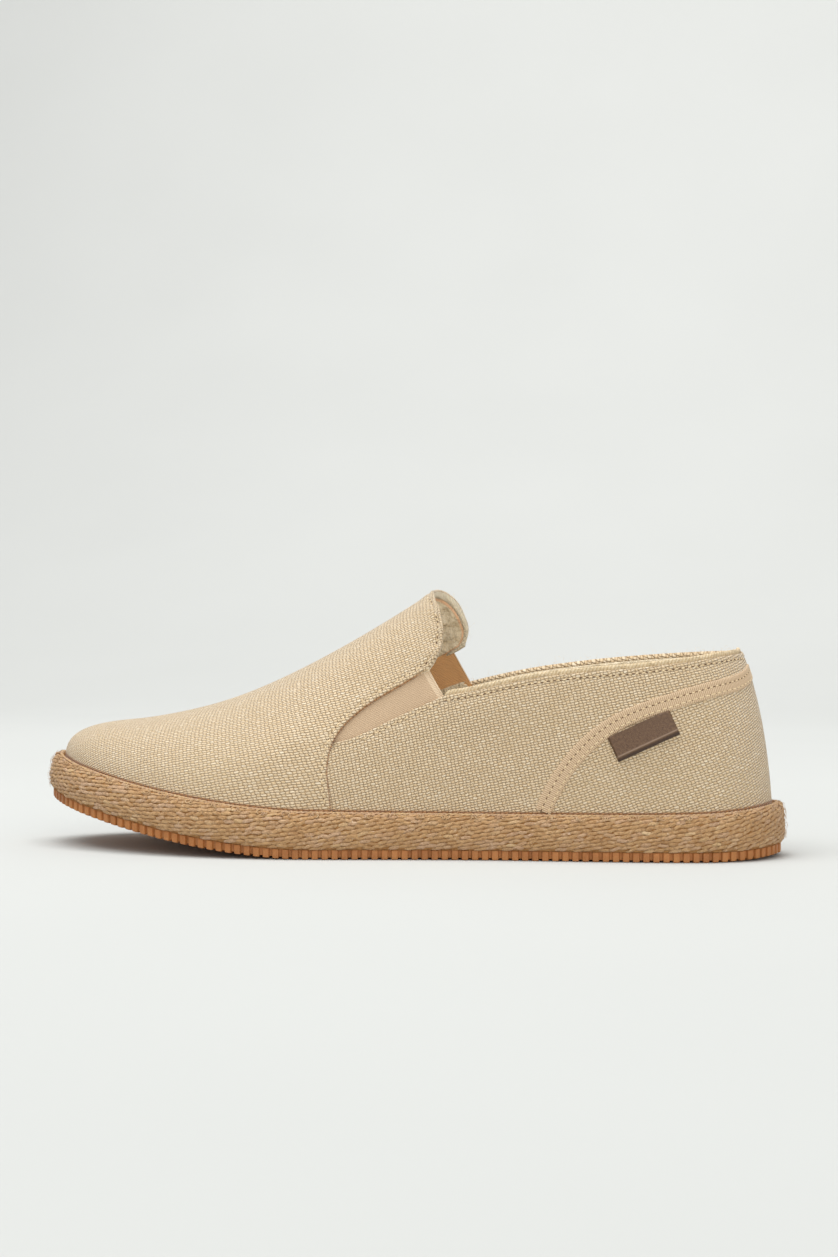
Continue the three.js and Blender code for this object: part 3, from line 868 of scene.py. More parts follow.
def jute_material():
    """Raw jute yarn: each strand its own shade, with fibres along it."""
    m = Material("jute", 0.8, Sheen_Weight=0.15, Specular_IOR_Level=0.3)
    along, around, shade = m.split(m.attribute("strand"))
    stretched = m.join(m.times(along, 0.45), m.times(around, 3.4), m.times(shade, 40.0))
    fibre = m.noise(stretched, 1.7, 4.0, 0.7)
    speckle = m.noise(m.position(), 900.0, 3.0, 0.6)
    patch = m.noise(m.position(), 220.0)
    base = m.ramp(shade, (
        (0.0, (172, 132, 88)), (0.25, (190, 150, 103)), (0.5, (202, 164, 116)),
        (0.68, (204, 171, 140)), (0.82, (213, 180, 132)), (1.0, (230, 201, 158))))
    base = m.tint(base, fibre, (0.38, 0.58), (0.75, 0.0), (140, 98, 58))
    base = m.tint(base, fibre, (0.55, 0.72), (0.0, 0.6), (232, 206, 168))
    base = m.tint(base, speckle, (0.32, 0.46), (0.65, 0.0), (124, 86, 50))
    base = m.tint(base, speckle, (0.6, 0.75), (0.0, 0.6), (226, 204, 178))
    base = m.tint(base, patch, (0.4, 0.65), (0.0, 0.35), (176, 134, 90))
    return m.finish(base, m.bump(m.plus(fibre, speckle), 0.2))


def core_material():
    """The jute ground seen between the strands, coloured darker than them as painted shade between the
    strands.
    """
    m = Material("jute_core", 0.95, Specular_IOR_Level=0.1)
    fibre = m.noise(m.attribute("strand"), 0.9, 4.0)
    return m.finish(m.blend(fibre, (0.3, 0.7), (132, 92, 54), (170, 128, 82)), m.bump(fibre, 0.3))


def rubber_material():
    """Crepe-coloured rubber, slightly dusty."""
    m = Material("rubber", 0.55, Specular_IOR_Level=0.35, Subsurface_Weight=0.05, Subsurface_Scale=0.002)
    cloud = m.noise(m.position(), 90.0, 4.0)
    grain = m.noise(m.position(), 2200.0, 3.0)
    base = m.blend(cloud, (0.35, 0.65), (160, 101, 53), (182, 121, 69))
    base = m.tint(base, grain, (0.5, 0.75), (0.0, 0.3), (204, 150, 98))
    return m.finish(base, m.bump(grain, 0.05), m.range(cloud, 0.3, 0.7, 0.48, 0.66))


def insole_material():
    """Cotton sock cloth on the footbed, with a faint check."""
    m = Material("insole", 0.93, Sheen_Weight=0.1, Specular_IOR_Level=0.2)
    weave = m.attribute("weave")
    p, q, _ = m.split(weave)
    check = m.times(m.sine(p, 2 * math.pi / 1.1), m.sine(q, 2 * math.pi / 1.1))
    fleck = m.noise(weave, 0.9, 4.0)
    base = m.blend(check, (-0.6, 0.6), (203, 186, 152), (226, 213, 186))
    base = m.tint(base, fleck, (0.4, 0.7), (0.0, 0.4), (196, 176, 138))
    return m.finish(base, m.bump(m.math("MULTIPLY_ADD", fleck, 0.6, check), 0.15))


def floor_material():
    """Matt pale studio paper."""
    m = Material("floor", 0.9, Specular_IOR_Level=0.1)
    return m.finish(m.mix(m.noise(m.position(), 3.0), (193, 194, 191), (198, 199, 196)))


# ---------------------------------------------------------------- canvas and lining
def cut_sheet(field, isos, sheet=None):
    """The part of the surface inside a field, with mesh lines at the given distances from its edge."""
    sheet = (sheet or Sheet()).split(field, 0.0).keep(field)
    for iso in isos:
        sheet.split(field, iso)
    for iso in (0.2, 0.7, 1.3):
        sheet.split(above_band, iso)
    return sheet


def add_shell(name, sheet, outer, inner, weave, material, node, inner_extra=0.0):
    """A closed shell; inner_extra is added to the weave's extra value on its inner face."""
    points, faces = sheet.shell(outer, inner)
    inner_weave = weave.copy()
    inner_weave[:, 2] += inner_extra
    weave = {"weave": np.vstack([weave, inner_weave])}
    add_piece(name, points, faces, material, node, weave, sharp=50)


def band_glue_and_shade(uv):
    """Painted shade just above the band, where the canvas meets it, partly glue drawn up into the cloth."""
    return 1.0 - smoothstep(0.5, 1.3, above_band(uv))


def make_vamp(canvas):
    """The vamp with its tab: a hem along its edge, and a thicker roll round the tab's."""
    hem_high, sink = 0.55, 0.32
    tab_out, tab_in = 0.3, 0.35
    roll_out, roll_in = 0.45, 0.75
    (outer_cut, outer_swell), (inner_cut, inner_swell) = LAYERS["vamp"]
    sheet = cut_sheet(in_vamp, EDGE_LINES + (3.4, 6.0))
    depth = in_vamp(sheet.uv)
    tab = 1.0 - smoothstep(1.5, 6.0, off_tab_edge(sheet.uv))
    hem = hem_high * (1.0 - smoothstep(2.4, 8.0, depth)) * (1.0 - 0.5 * tab)
    roll = tab * (1.0 - smoothstep(1.3, 2.1, depth))
    edge = rounded(depth, 0.9)
    crease = creases(sheet.uv) + ripple(sheet.uv) * tab
    outer = outer_cut - tab_out * tab + edge * (outer_swell + tab_out * tab + hem + roll_out * roll) + crease
    outer -= sink * groove(depth, STITCH_IN, 0.5)
    inner = inner_cut - tab_in * tab - edge * (inner_swell + tab_in * tab + roll_in * roll) + crease
    # Painted shade, partly glue and edge stains: along the band, and along the vamp's cut edge over the
    # gore, where the hem's shadow line falls.
    glue_and_painted_shading = np.maximum(band_glue_and_shade(sheet.uv), (1.0 - smoothstep(0.1, 0.4, depth)) * (1.0 - tab))
    weave = turned(vamp_cloth(sheet.uv), CANVAS_TURN["vamp"], glue_and_painted_shading)
    # On the inner face the third value comes to minus tab: painted light brightening the tab's inner rim,
    # which lies in shade.
    add_shell("vamp", sheet, outer, inner, weave, canvas, "upper", -glue_and_painted_shading - tab)


def rolled_in(uv):
    """1 along the medial collar, where the canvas is turned in over the lining, and 0 elsewhere."""
    s, y, z = on_upper(uv).T
    collar = smoothstep(-4.5, -3.0, z - np.interp(s, *np.array(TOPLINE["medial"])[::-1].T))
    return smoothstep(2.0, 14.0, y) * collar


def make_quarters(canvas):
    """The quarters, and the heel counter below the tape."""
    sink, turned_in = 0.2, 0.9
    under_out, under_in = 0.8, 0.5
    (outer_cut, outer_swell), (inner_cut, inner_swell) = LAYERS["quarters"]
    for name, part in (("quarters", lambda uv: -in_heel(uv)), ("heel_counter", in_heel)):
        sheet = cut_sheet(in_quarter, EDGE_LINES).split(part, 0.0).keep(part)
        depth = in_quarter(sheet.uv)
        under_vamp = smoothstep(-0.6, 0.6, in_vamp(sheet.uv))
        edge = rounded(depth, 0.8)
        crease = creases(sheet.uv)
        outer = outer_cut + edge * outer_swell + crease - under_out * under_vamp
        outer -= sink * groove(depth, STITCH_IN, 0.45)
        inner = inner_cut - edge * (inner_swell + turned_in * rolled_in(sheet.uv)) + crease
        inner -= under_in * under_vamp
        # The weave's third value paints shade just above the band, partly a glue stain.
        weave = turned(wall_cloth(sheet.uv), CANVAS_TURN[name], band_glue_and_shade(sheet.uv))
        add_shell(name, sheet, outer, inner, weave, canvas, "upper")


LINING_LINES = (0.2, 0.5, 0.9, 1.3, 1.8, 2.3)
LINING_TURN = 8.0


def in_vamp_lining(uv):
    """Inside the vamp's lining, which stops short of the tab's edge."""
    return in_vamp(uv) - 1.7


def in_quarter_lining(uv):
    """Inside the quarters' lining, which stands above the lateral collar as a bead."""
    bead_up, turned_down, over_gore = 2.3, 1.0, 1.4
    s, y, _ = on_upper(uv).T
    medial = smoothstep(2.0, 14.0, y)
    ahead = smoothstep(123.0, 125.5, s)
    lateral_rise = bead_up * (1.0 - ahead) - turned_down * ahead
    medial_rise = over_gore * ahead - turned_down * (1.0 - ahead)
    rise = lateral_rise * (1.0 - medial) + medial_rise * medial
    return np.minimum(in_quarter(uv) + rise, -in_vamp(uv) - 0.2)


def add_lining(name, field, material, relief_of):
    """A lining. relief_of gives its bead's height, wrinkles, waves and binding from (u, v) and depth."""
    sheet = cut_sheet(field, LINING_LINES)
    depth = field(sheet.uv)
    edge = rounded(depth, 0.8)
    bead, wrinkle, wave, binding = relief_of(sheet.uv, depth)
    crease = creases(sheet.uv) + wave
    (outer_cut, outer_swell), (inner_cut, inner_swell) = LAYERS["lining"]
    outer = outer_cut + edge * (outer_swell + bead) + crease
    inner = inner_cut - edge * inner_swell + crease + wrinkle
    weave = turned(wall_cloth(sheet.uv), LINING_TURN, binding)
    add_shell(name, sheet, outer, inner, weave, material, "upper")


def tab_relief(uv, depth):
    """Gathers inside the tab, and the thin binding along its lining's edge."""
    s, y, z = on_upper(uv).T
    tab = smoothstep(156.0, 132.0, s)
    gathers = np.sin(z * 0.9 + 1.5 * np.sin(y * 0.25)) + 0.7 * np.sin(z * 0.37 - s * 0.5)
    wrinkle = 0.75 * tab * gathers * smoothstep(1.0, 3.5, depth)
    wave = ripple(uv) * tab * (1.0 - smoothstep(4.0, 9.0, depth))
    return 0.0, wrinkle, wave, tab * (1.0 - smoothstep(0.5, 0.9, depth))


def collar_relief(uv, depth):
    """The bead along the lateral collar."""
    lateral = smoothstep(6.0, -2.0, on_upper(uv)[:, 1])
    bead = 0.6 * (1.0 - smoothstep(1.4, 2.2, depth)) * lateral
    return bead, 0.0, 0.0, -(1.0 - smoothstep(2.0, 2.3, depth)) * lateral


def make_lining(lining):
    add_lining("vamp_lining", in_vamp_lining, lining, tab_relief)
    add_lining("quarter_lining", in_quarter_lining, lining, collar_relief)


def make_gore(side, u_low, u_high, elastic):
    """One side's elastic, tucked under the vamp and the quarter, with a hem along its back edge."""
    polygon = gore_polygon(side)
    top = np.array(VAMP_EDGE[side][-1], float)
    foot = np.array(GORE_FOOT[side][0], float)
    forward = unit(np.array((top[1] - foot[1], foot[0] - top[0])))
    axis = unit(np.array(GORE_FOOT[side][-1], float) - foot)
    hem_wide, hem_end, hem_line = 2.2, 2.5, 0.75

    def side_view(uv):
        return on_upper(uv)[:, (0, 2)]

    def from_rear(uv):
        return (side_view(uv) - top) @ forward

    sheet = cut_sheet(lambda uv: polygon_distance(side_view(uv), polygon), (0.3, 0.8), Sheet(u_low, u_high))
    for iso in (0.3, 0.55, hem_line, 0.95, hem_wide, hem_end):
        sheet.split(from_rear, iso)
    flat = side_view(sheet.uv)
    rear = from_rear(sheet.uv)
    shown = smoothstep(1.6, 3.6, polygon_distance(flat, polygon))
    hem = 1.0 - smoothstep(hem_wide, hem_end, rear)
    outer = GORE["tucked"] + GORE["raised"] * shown + GORE["hem"] * (hem * shown + rounded(rear, 0.5) - 1.0)
    pale = -hem * (1.0 - groove(rear, hem_line, 0.15))
    weave = np.stack([flat @ axis, flat @ np.array((-axis[1], axis[0])), pale], axis=1)
    add_shell("gore_" + side + "_elastic", sheet, outer, outer - GORE["thick"], weave, elastic,
              "gore_" + side, 1.0 - pale)


# ---------------------------------------------------------------- tape, stitches, label
def surface_line(uv, step):
    """Even stations along a line on the upper: (u, v), distances, and directions along, across and out."""
    fine = catmull(uv, 12)
    along = running(np.linalg.norm(np.diff(on_upper(fine), axis=0), axis=1))
    count = max(3, int(round(along[-1] / step)) + 1)
    stations = np.linspace(0.0, along[-1], count)
    uv = np.stack([np.interp(stations, along, fine[:, i]) for i in (0, 1)], axis=1)
    tangent = unit(np.gradient(on_upper(uv), axis=0))
    normal = tangents(uv)[2]
    return uv, stations, tangent, unit(np.cross(tangent, normal)), normal


def shifted(uv, across, distance):
    """(u, v) moved by a distance along the across direction, staying on the surface."""
    along_u, along_v, _ = tangents(uv)
    uu, vv, both = (along_u ** 2).sum(1), (along_v ** 2).sum(1), (along_u * along_v).sum(1)
    a, b = (along_u * across).sum(1), (along_v * across).sum(1)
    moved = np.stack([a * vv - b * both, b * uu - a * both], axis=1) / (uu * vv - both ** 2)[:, None]
    return uv + moved * np.reshape(distance, (-1, 1))


def wrapped_creases(uv):
    """creases() for a line whose u runs below 0 past the heel."""
    return creases(uv % (ROUND, 10.0))


def tape_uv():
    """The tape's middle line from the lateral sole round the heel to the medial sole."""
    lateral = locate("lateral", TAPE_LINE)
    medial = locate("medial", TAPE_LINE) - (ROUND, 0.0)
    return np.vstack([lateral[::-1], [(0.0, height_at(0.0, TAPE_BACK))], medial])


def make_tape(tape):
    """The grosgrain tape, with a rib modelled every RIB_PITCH and its stitch rows sunk into it."""
    uv, along, _, across, _ = surface_line(tape_uv(), RIB_PITCH / 4.0)
    half = TAPE_WIDTH / 2.0
    proud, rib_high, under_face = 0.42, 0.2, -0.3
    widths = (-half, -half + 0.15, -half + 0.5, -2.3, LOWER_ROW, -1.5, -0.6, 0.3, UPPER_ROW, 1.1, 1.8,
              half - 0.5, half - 0.15, half)
    rib = 0.5 + 0.5 * np.cos(along * 2 * math.pi / RIB_PITCH)
    top, under, data = [], [], []
    for width in widths:
        moved = shifted(uv, across, width)
        crease = wrapped_creases(moved)
        edge = rounded(half - abs(width), 0.5)
        sunk = 0.16 * groove(width, UPPER_ROW, 0.4) + 0.12 * groove(width, LOWER_ROW, 0.4)
        top.append(on_upper(moved, 0.02 + edge * (proud + rib_high * (rib - 0.5)) - sunk + crease))
        under.append(on_upper(moved, under_face + crease))
        data.append(np.stack([along, np.full(len(uv), width), rib], axis=1))
    rows = top + under[::-1]
    faces = grid_faces(len(rows), len(uv), wrap_rows=True)
    for end in (0, len(uv) - 1):
        faces += [tuple(i * len(uv) + end for i in (k, k + 1, len(rows) - 2 - k, len(rows) - 1 - k))
                  for k in range(len(widths) - 1)]
    add_piece("heel_tape_ribbon", np.vstack(rows), faces, tape, "heel_tape",
              {"weave": np.vstack(data + data[::-1])})


def add_capsules(bundle, centres, along, normal, length, width, height, rng):
    """Short rounded bars lying on the cloth, bent down at both ends."""
    across = np.cross(normal, along)
    profile = ((-1.0, 0.0, -0.5), (-0.8, 0.75, -0.1), (-0.3, 1.0, 0.1), (0.3, 1.0, 0.1), (0.8, 0.75, -0.1),
               (1.0, 0.0, -0.5))
    sides = 6
    faces = spindle_faces(len(profile), sides)
    for centre, t, b, n in zip(centres, along, across, normal):
        points = []
        for station, thick, rise in profile:
            middle = centre + t * station * length / 2 + n * rise * height
            angles = turns(sides if thick else 1)
            points += [middle + thick * (b * math.cos(a) * width / 2 + n * math.sin(a) * height / 2)
                       for a in angles]
        points = np.array(points)
        bundle.add(points, faces, points * 1.7 + rng.uniform(0, 9))


def stitch_rows():
    """Every row of stitches: its (u, v) line, how far across it lies, how proud it is, and its kind."""
    rows = []
    for side, inwards in (("lateral", 1.0), ("medial", -1.0)):
        topline = catmull(TOPLINE[side], 4)[:-2]
        foot = catmull(GORE_FOOT[side], 3)[1:-3]
        edge = catmull(VAMP_EDGE[side], 4)
        edge = edge[edge[:, 1] > 17.5]
        tab = catmull(TAB_EDGE[side], 4)[1:-5]
        rows.append((locate(side, topline), -inwards * STITCH_IN, 0.02, "dark"))
        rows.append((locate(side, foot), inwards * STITCH_IN, 0.02, "dot"))
        rows.append((locate(side, edge), inwards * STITCH_IN, 0.38, "pale"))
        rows.append((locate(side, tab), inwards * STITCH_IN, 0.2, "dark"))
    tape = tape_uv()
    rows.append((tape, UPPER_ROW, 0.4, "dark"))
    rows.append((tape, LOWER_ROW, 0.4, "dot"))
    return rows


def make_stitches(thread, hole_shade):
    """Thread that lies on the cloth, and dark capsules between that paint the shade of the needle holes."""
    rng = np.random.default_rng(5)
    threads, hole_shades = Bundle(), Bundle()
    for line, offset, proud, kind in stitch_rows():
        uv, _, tangent, across, normal = surface_line(line, STITCH_PITCH)
        uv = shifted(uv, across, offset)
        uv = shifted(uv, across, rng.normal(0.0, 0.06, len(uv)))
        points = on_upper(uv, proud + wrapped_creases(uv))
        hole_long, hole_wide = HOLES[kind]
        # Dark capsules standing for the needle holes: painted shade.
        add_capsules(hole_shades, points - normal * 0.02, tangent, normal, hole_long, hole_wide, HOLE_HIGH, rng)
        between = (points[:-1] + points[1:]) / 2.0
        add_capsules(threads, between, tangent[:-1], normal[:-1], STITCH_PITCH - hole_long,
                     THREAD["wide"], THREAD["high"], rng)
    threads.build("stitches", "weave", thread, "canvas", "upper")
    hole_shades.build("needle_hole_shade", "weave", hole_shade, "canvas", "upper")


def make_lint(thread):
    """Loose cotton hairs that stand off the collar, the tab and the back of the heel."""
    rng = np.random.default_rng(41)
    bundle = Bundle()
    lines = [locate(side, catmull(edge[side], 3)[:-short]) for edge, short in ((TOPLINE, 3), (TAB_EDGE, 6))
             for side in SIDES]
    lines.append(np.stack([np.full(9, 0.4), np.linspace(0.08, 0.37, 9)], axis=1))
    t = np.linspace(0.0, 1.0, 5)[:, None]
    for line in lines:
        uv, _, _, across, normal = surface_line(line, LINT["pitch"])
        uv = shifted(uv, across, rng.normal(0.0, LINT["spread"], len(uv)))
        for foot, out in zip(on_upper(uv, -0.3), normal):
            heading = out * 0.5 + rng.normal(0.0, LINT["stray"], 3) + (0.0, 0.0, 0.5)
            bend = rng.normal(0.0, 0.8, 3)
            hair = foot + (heading * t + bend * t ** 2) * rng.uniform(0.5, 1.5)
            radius = LINT["radius"] * (1.1 - t[:, 0])
            points, faces = tube(hair, np.tile((0.3, 0.9, 0.1), (len(t), 1)), radius, 3)
            bundle.add(points, faces, points)
    bundle.build("canvas_lint", "weave", thread, "canvas", "upper")


def make_label(leather):
    """A blank leather label, folded at its lower edge, its upper edge under the tape."""
    columns, rows = 41, 25
    bead_at, bead_wide, bead_high = 1.5, 0.35, 0.18
    thick, folded, bowed = 0.3, 0.65, 0.45
    tilt = math.radians(LABEL["tilt"])
    long, tall = np.meshgrid(np.linspace(-0.5, 0.5, columns) * LABEL["long"],
                             np.linspace(-0.5, 0.5, rows) * LABEL["tall"], indexing="ij")
    long, tall = long.ravel(), tall.ravel()
    s = LABEL["s"] + long * math.cos(tilt) + tall * math.sin(tilt)
    z = LABEL["z"] - long * math.sin(tilt) + tall * math.cos(tilt)
    uv = locate("lateral", np.stack([s, z], axis=1))
    near_end = LABEL["long"] / 2 - np.abs(long)
    from_fold = tall + LABEL["tall"] / 2
    bevel = smoothstep(0.0, 1.3, from_fold)
    sag = 1.0 - smoothstep(0.0, LABEL["tall"], from_fold)
    bead = groove(from_fold, bead_at, bead_wide)
    free = smoothstep(TAPE_WIDTH / 2 - 0.5, TAPE_WIDTH / 2 + 0.5, off_tape(uv))
    crease = creases(uv)
    body = rounded(near_end, 0.3) * (thick + folded * bevel + bowed * sag + bead_high * bead)
    top = on_upper(uv, 0.12 + free * (0.13 + body) + crease)
    under = on_upper(uv, 0.125 * sag + crease)
    # Painted highlight on the ridge above the fold, paler ends, and painted shade on the fold itself.
    painted_light_and_pale_ends = 1.2 * bead + 0.4 * groove(near_end, 0.2, 0.2) - (1.0 - smoothstep(0.6, 1.3, from_fold))
    quads = grid_faces(columns, rows)
    count = len(uv)
    index = np.arange(count).reshape(columns, rows)
    rim = [*index[:, 0], *index[-1, 1:], *index[-2::-1, -1], *index[0, -2:0:-1]]
    faces = quads + [tuple(i + count for i in quad[::-1]) for quad in quads]
    faces += [(a, b, b + count, a + count) for a, b in zip(rim, rim[1:] + rim[:1])]
    weave = np.stack([long, tall, painted_light_and_pale_ends], axis=1)
    add_piece("leather_label", np.vstack([top, under]), faces, leather, "label",
              {"weave": np.vstack([weave, weave])}, sharp=40)


# ---------------------------------------------------------------- the sole
RIM_U = np.linspace(0.0, ROUND, 4801)
RIM_ARC = running(np.hypot(*np.diff(outline(RIM_U, 0.0))))
PERIMETER = RIM_ARC[-1]


def rim_u(arc):
    """The u at a distance round the sole's outline, from the back of the heel by the lateral side."""
    return np.interp(np.mod(arc, PERIMETER), RIM_ARC, RIM_U)


def ring(u, inset, height):
    """A ring round the sole, at a height above its underside."""
    s, y = outline(u, inset)
    return np.stack([s, y, lift(s) + height], axis=-1)


def inward_rings(u, inset, stations, height_of, ends=(40.0, 45.0)):
    """Rings closing in to the sole's middle line, at height_of(s, y, station) above its underside."""
    s, y = outline(u, inset)
    middle_s = np.clip(s, ends[0], LENGTH - ends[1])
    rings = []
    for t in stations:
        ring_s = s + (middle_s - s) * t
        ring_y = y * (1.0 - t)
        rings.append(np.stack([ring_s, ring_y, lift(ring_s) + height_of(ring_s, ring_y, t)], axis=-1))
    return rings


def flat_rings(u, inset, height, steps):
    """Rings closing in at one height above the underside."""
    return inward_rings(u, inset, np.linspace(0.0, 1.0, steps + 1), lambda s, y, t: height)


def band_profile(u):
    """The jute band's profile at each u: insets and heights of its corners, from its foot to its top."""
    top, hollow = band_top(u), lean(u)
    insets = (1.0, 0.22, 0.0, 0.5 * hollow, hollow + 0.15, hollow + 1.2, hollow + 2.9)
    belly = BAND_BASE + 0.35 * (top - BAND_BASE)
    heights = (BAND_BASE - 0.25, BAND_BASE + 1.1, belly, top - 3.2, top - 1.4, top - 0.35, top)
    return insets, heights


def band_point(u, share, out=0.0):
    """A point on the band: share runs from 0 at its foot to 1 at its top; out is how far it stands off."""
    u, share, out = np.broadcast_arrays(np.asarray(u, float), share, out)
    insets, heights = band_profile(u)
    inset, height = insets[0], heights[0]
    for k in range(len(BAND_SHARES) - 1):
        low, high = BAND_SHARES[k], BAND_SHARES[k + 1]
        t = np.clip((share - low) / (high - low), 0.0, 1.0)
        inset = np.where(share > low, insets[k] + (insets[k + 1] - insets[k]) * t, inset)
        height = np.where(share > low, heights[k] + (heights[k + 1] - heights[k]) * t, height)
    rise = 0.95 * smoothstep(0.66, 0.95, share) - 0.4 * (1.0 - smoothstep(0.0, 0.1, share))
    return ring(u, inset - out * np.sqrt(1.0 - np.minimum(rise ** 2, 0.9)), height + out * rise)


def make_jute_core(core):
    """The band's body, set a little behind its strands, closed under the upper."""
    u = np.linspace(0.0, ROUND, 480, endpoint=False)
    top, hollow = band_top(u), lean(u)
    rings = flat_rings(u, 1.6, BAND_BASE, 4)[::-1]
    shares = (0.0, 0.05, 0.12, 0.25, 0.4, 0.55, 0.7, 0.82, 0.92, 1.0)
    rings += [band_point(u, share, -CORE_DEPTH) for share in shares]
    rings.append(ring(u, hollow + 3.4, top - 0.8))
    rings += flat_rings(u, hollow + 3.5, JUTE_FLOOR, 4)
    points = np.vstack(rings)
    add_piece("jute_ground", points, grid_faces(len(rings), len(u), wrap_columns=True), core,
              "jute_sole", {"strand": points})


def braid_places():
    """Where each strand's middle lies: distance round the band, height up it, and the rows' slope."""
    step, row = np.array(BRAID["step"]), np.array(BRAID["row"])
    rows_round = round(PERIMETER / (row[0] - step[0] * row[1] / step[1]))
    steps_round = round(-rows_round * row[1] / step[1])
    row[1] = -steps_round * step[1] / rows_round
    row[0] = (PERIMETER - steps_round * step[0]) / rows_round
    spare = 60
    i = np.arange(-spare, steps_round + spare)[:, None]
    j = np.arange(-spare, rows_round + spare, 0.5)
    right = (i * step[0] + j * row[0]).ravel()
    up = (i * step[1] + j * row[1]).ravel()
    kept = (up > 0.35) & (up < BRAID["height"] - 1.2) & (right >= 0) & (right < PERIMETER - 1e-6)
    return PERIMETER - right[kept], up[kept], row[1] / row[0]


def make_jute_strands(jute):
    """The braid: strands climbing to the right, each arched out of the band and diving at its ends."""
    rng = np.random.default_rng(11)
    arc, height, slope = braid_places()
    count = len(arc)
    arc = arc + rng.normal(0, 0.12, count)
    height = height + rng.normal(0, 0.05, count)
    half = BRAID["long"] / 2 * rng.uniform(0.85, 1.2, count)
    thick = BRAID["wide"] / 2 * rng.uniform(0.9, 1.12, count)
    tilt = slope + rng.normal(0, 0.07, count)
    wave = rng.normal(0, 0.06, count)
    shade = np.clip(rng.normal(0.48, 0.17, count), 0.0, 1.0)
    twist = rng.uniform(0, 2 * math.pi, count)
    stations = (-1.0, -0.82, -0.42, 0.0, 0.42, 0.82, 1.0)
    sides = 8
    sunk, arch, flat, ply_deep, ply_turn = -0.4, 0.2, 0.5, 0.16, 3.4

    def strand_points(t, radius, angle):
        at = arc + t * half
        up = -tilt * t * half + wave * math.sin(t * math.pi) * half
        plies = 1.0 + ply_deep * np.cos(3 * angle + twist + ply_turn * t)
        out = sunk + arch * (1.0 - t ** 6) + radius * thick * flat * plies * math.sin(angle)
        rise = up + radius * thick * plies * math.cos(angle)
        share = np.clip((height + rise) / BRAID["height"], 0.0, 1.0)
        return band_point(rim_u(at), share, out), np.stack([at, angle + twist, shade], axis=1)

    layers = [strand_points(stations[0], 0.0, 0.0)]
    for t in stations[1:-1]:
        layers += [strand_points(t, (1.0 - t * t) ** 0.36, angle) for angle in turns(sides)]
    layers.append(strand_points(stations[-1], 0.0, 0.0))
    points, data = (np.stack(part, axis=1).reshape(-1, 3) for part in zip(*layers))
    local = spindle_faces(len(stations), sides)
    faces = [tuple(i + n * len(layers) for i in face) for n in range(count) for face in local]
    add_piece("jute_braid", points, faces, jute, "jute_sole", {"strand": data})


def add_hair(bundle, at, share, out, radius, sides, shade_of):
    """A thin curved thread on the band, thick as radius at each of its points."""
    line = band_point(rim_u(at), share, out)
    normals = band_point(rim_u(at), share, out + 1.0) - line
    points, faces = tube(line, normals, radius, sides)
    around = np.tile(np.arange(sides), len(at))
    shade = np.full(len(points), shade_of())
    bundle.add(points, faces, np.stack([np.repeat(at, sides), around, shade], axis=1))


def add_roll(bundle, rng):
    """The two-ply roll along the band's top."""
    stations = int(PERIMETER / 0.5)
    sides = ROLL["sides"]
    arc = np.linspace(0.0, PERIMETER, stations, endpoint=False)
    u = rim_u(arc)
    whole_turns = round(PERIMETER / ROLL["lay"] / 2.0)
    for start in (0.0, 0.5):
        phase = (arc / ROLL["lay"] / 2.0 + start) * 2 * math.pi
        phase *= whole_turns / (PERIMETER / ROLL["lay"] / 2.0)
        share = ROLL["share"] + 0.014 * np.cos(phase)
        out = -0.12 + 0.2 * np.sin(phase)
        rings = []
        for angle in turns(sides):
            ring_share = np.clip(share + ROLL["rise"] * math.cos(angle), 0, 1)
            rings.append(band_point(u, ring_share, out + ROLL["thick"] * math.sin(angle)))
        shade = 0.62 + 0.25 * np.repeat(rng.random(stations // sides + 1), sides)[:stations]
        around = np.tile(turns(sides), stations)
        data = np.stack([np.repeat(arc, sides), around, np.repeat(shade, sides)], axis=1)
        faces = grid_faces(stations, sides, wrap_rows=True, wrap_columns=True)
        bundle.add(np.stack(rings, axis=1).reshape(-1, 3), faces, data)


def add_curls(bundle, rng):
    """Little groups of curled binding stitches below the roll."""
    groups = int(round(PERIMETER / CURLS["pitch"]))
    t = np.linspace(0.0, 1.0, 9)
    radius = 0.19 * np.sin(np.linspace(0.35, math.pi - 0.35, len(t))) ** 0.5
    for n in range(groups):
        middle = (n + 0.5) * PERIMETER / groups + rng.normal(0, 0.35)
        for curl in range(CURLS["each"]):
            turn = rng.uniform(0.8, 1.3) * math.pi * t + rng.uniform(0, 6.28)
            at = middle + (curl - (CURLS["each"] - 1) / 2) * CURLS["apart"] + CURLS["radius"] * np.cos(turn)
            share = CURLS["share"] + rng.normal(0, 0.012) + 0.045 * np.sin(turn)
            out = 0.12 + 0.3 * np.sin(t * math.pi)
            add_hair(bundle, at, share, out, radius, 5, lambda: rng.uniform(0.6, 1.0))


def make_jute_edge(jute):
    rng = np.random.default_rng(23)
    bundle = Bundle()
    add_roll(bundle, rng)
    add_curls(bundle, rng)
    bundle.build("jute_binding", "strand", jute, "jute", "jute_sole")


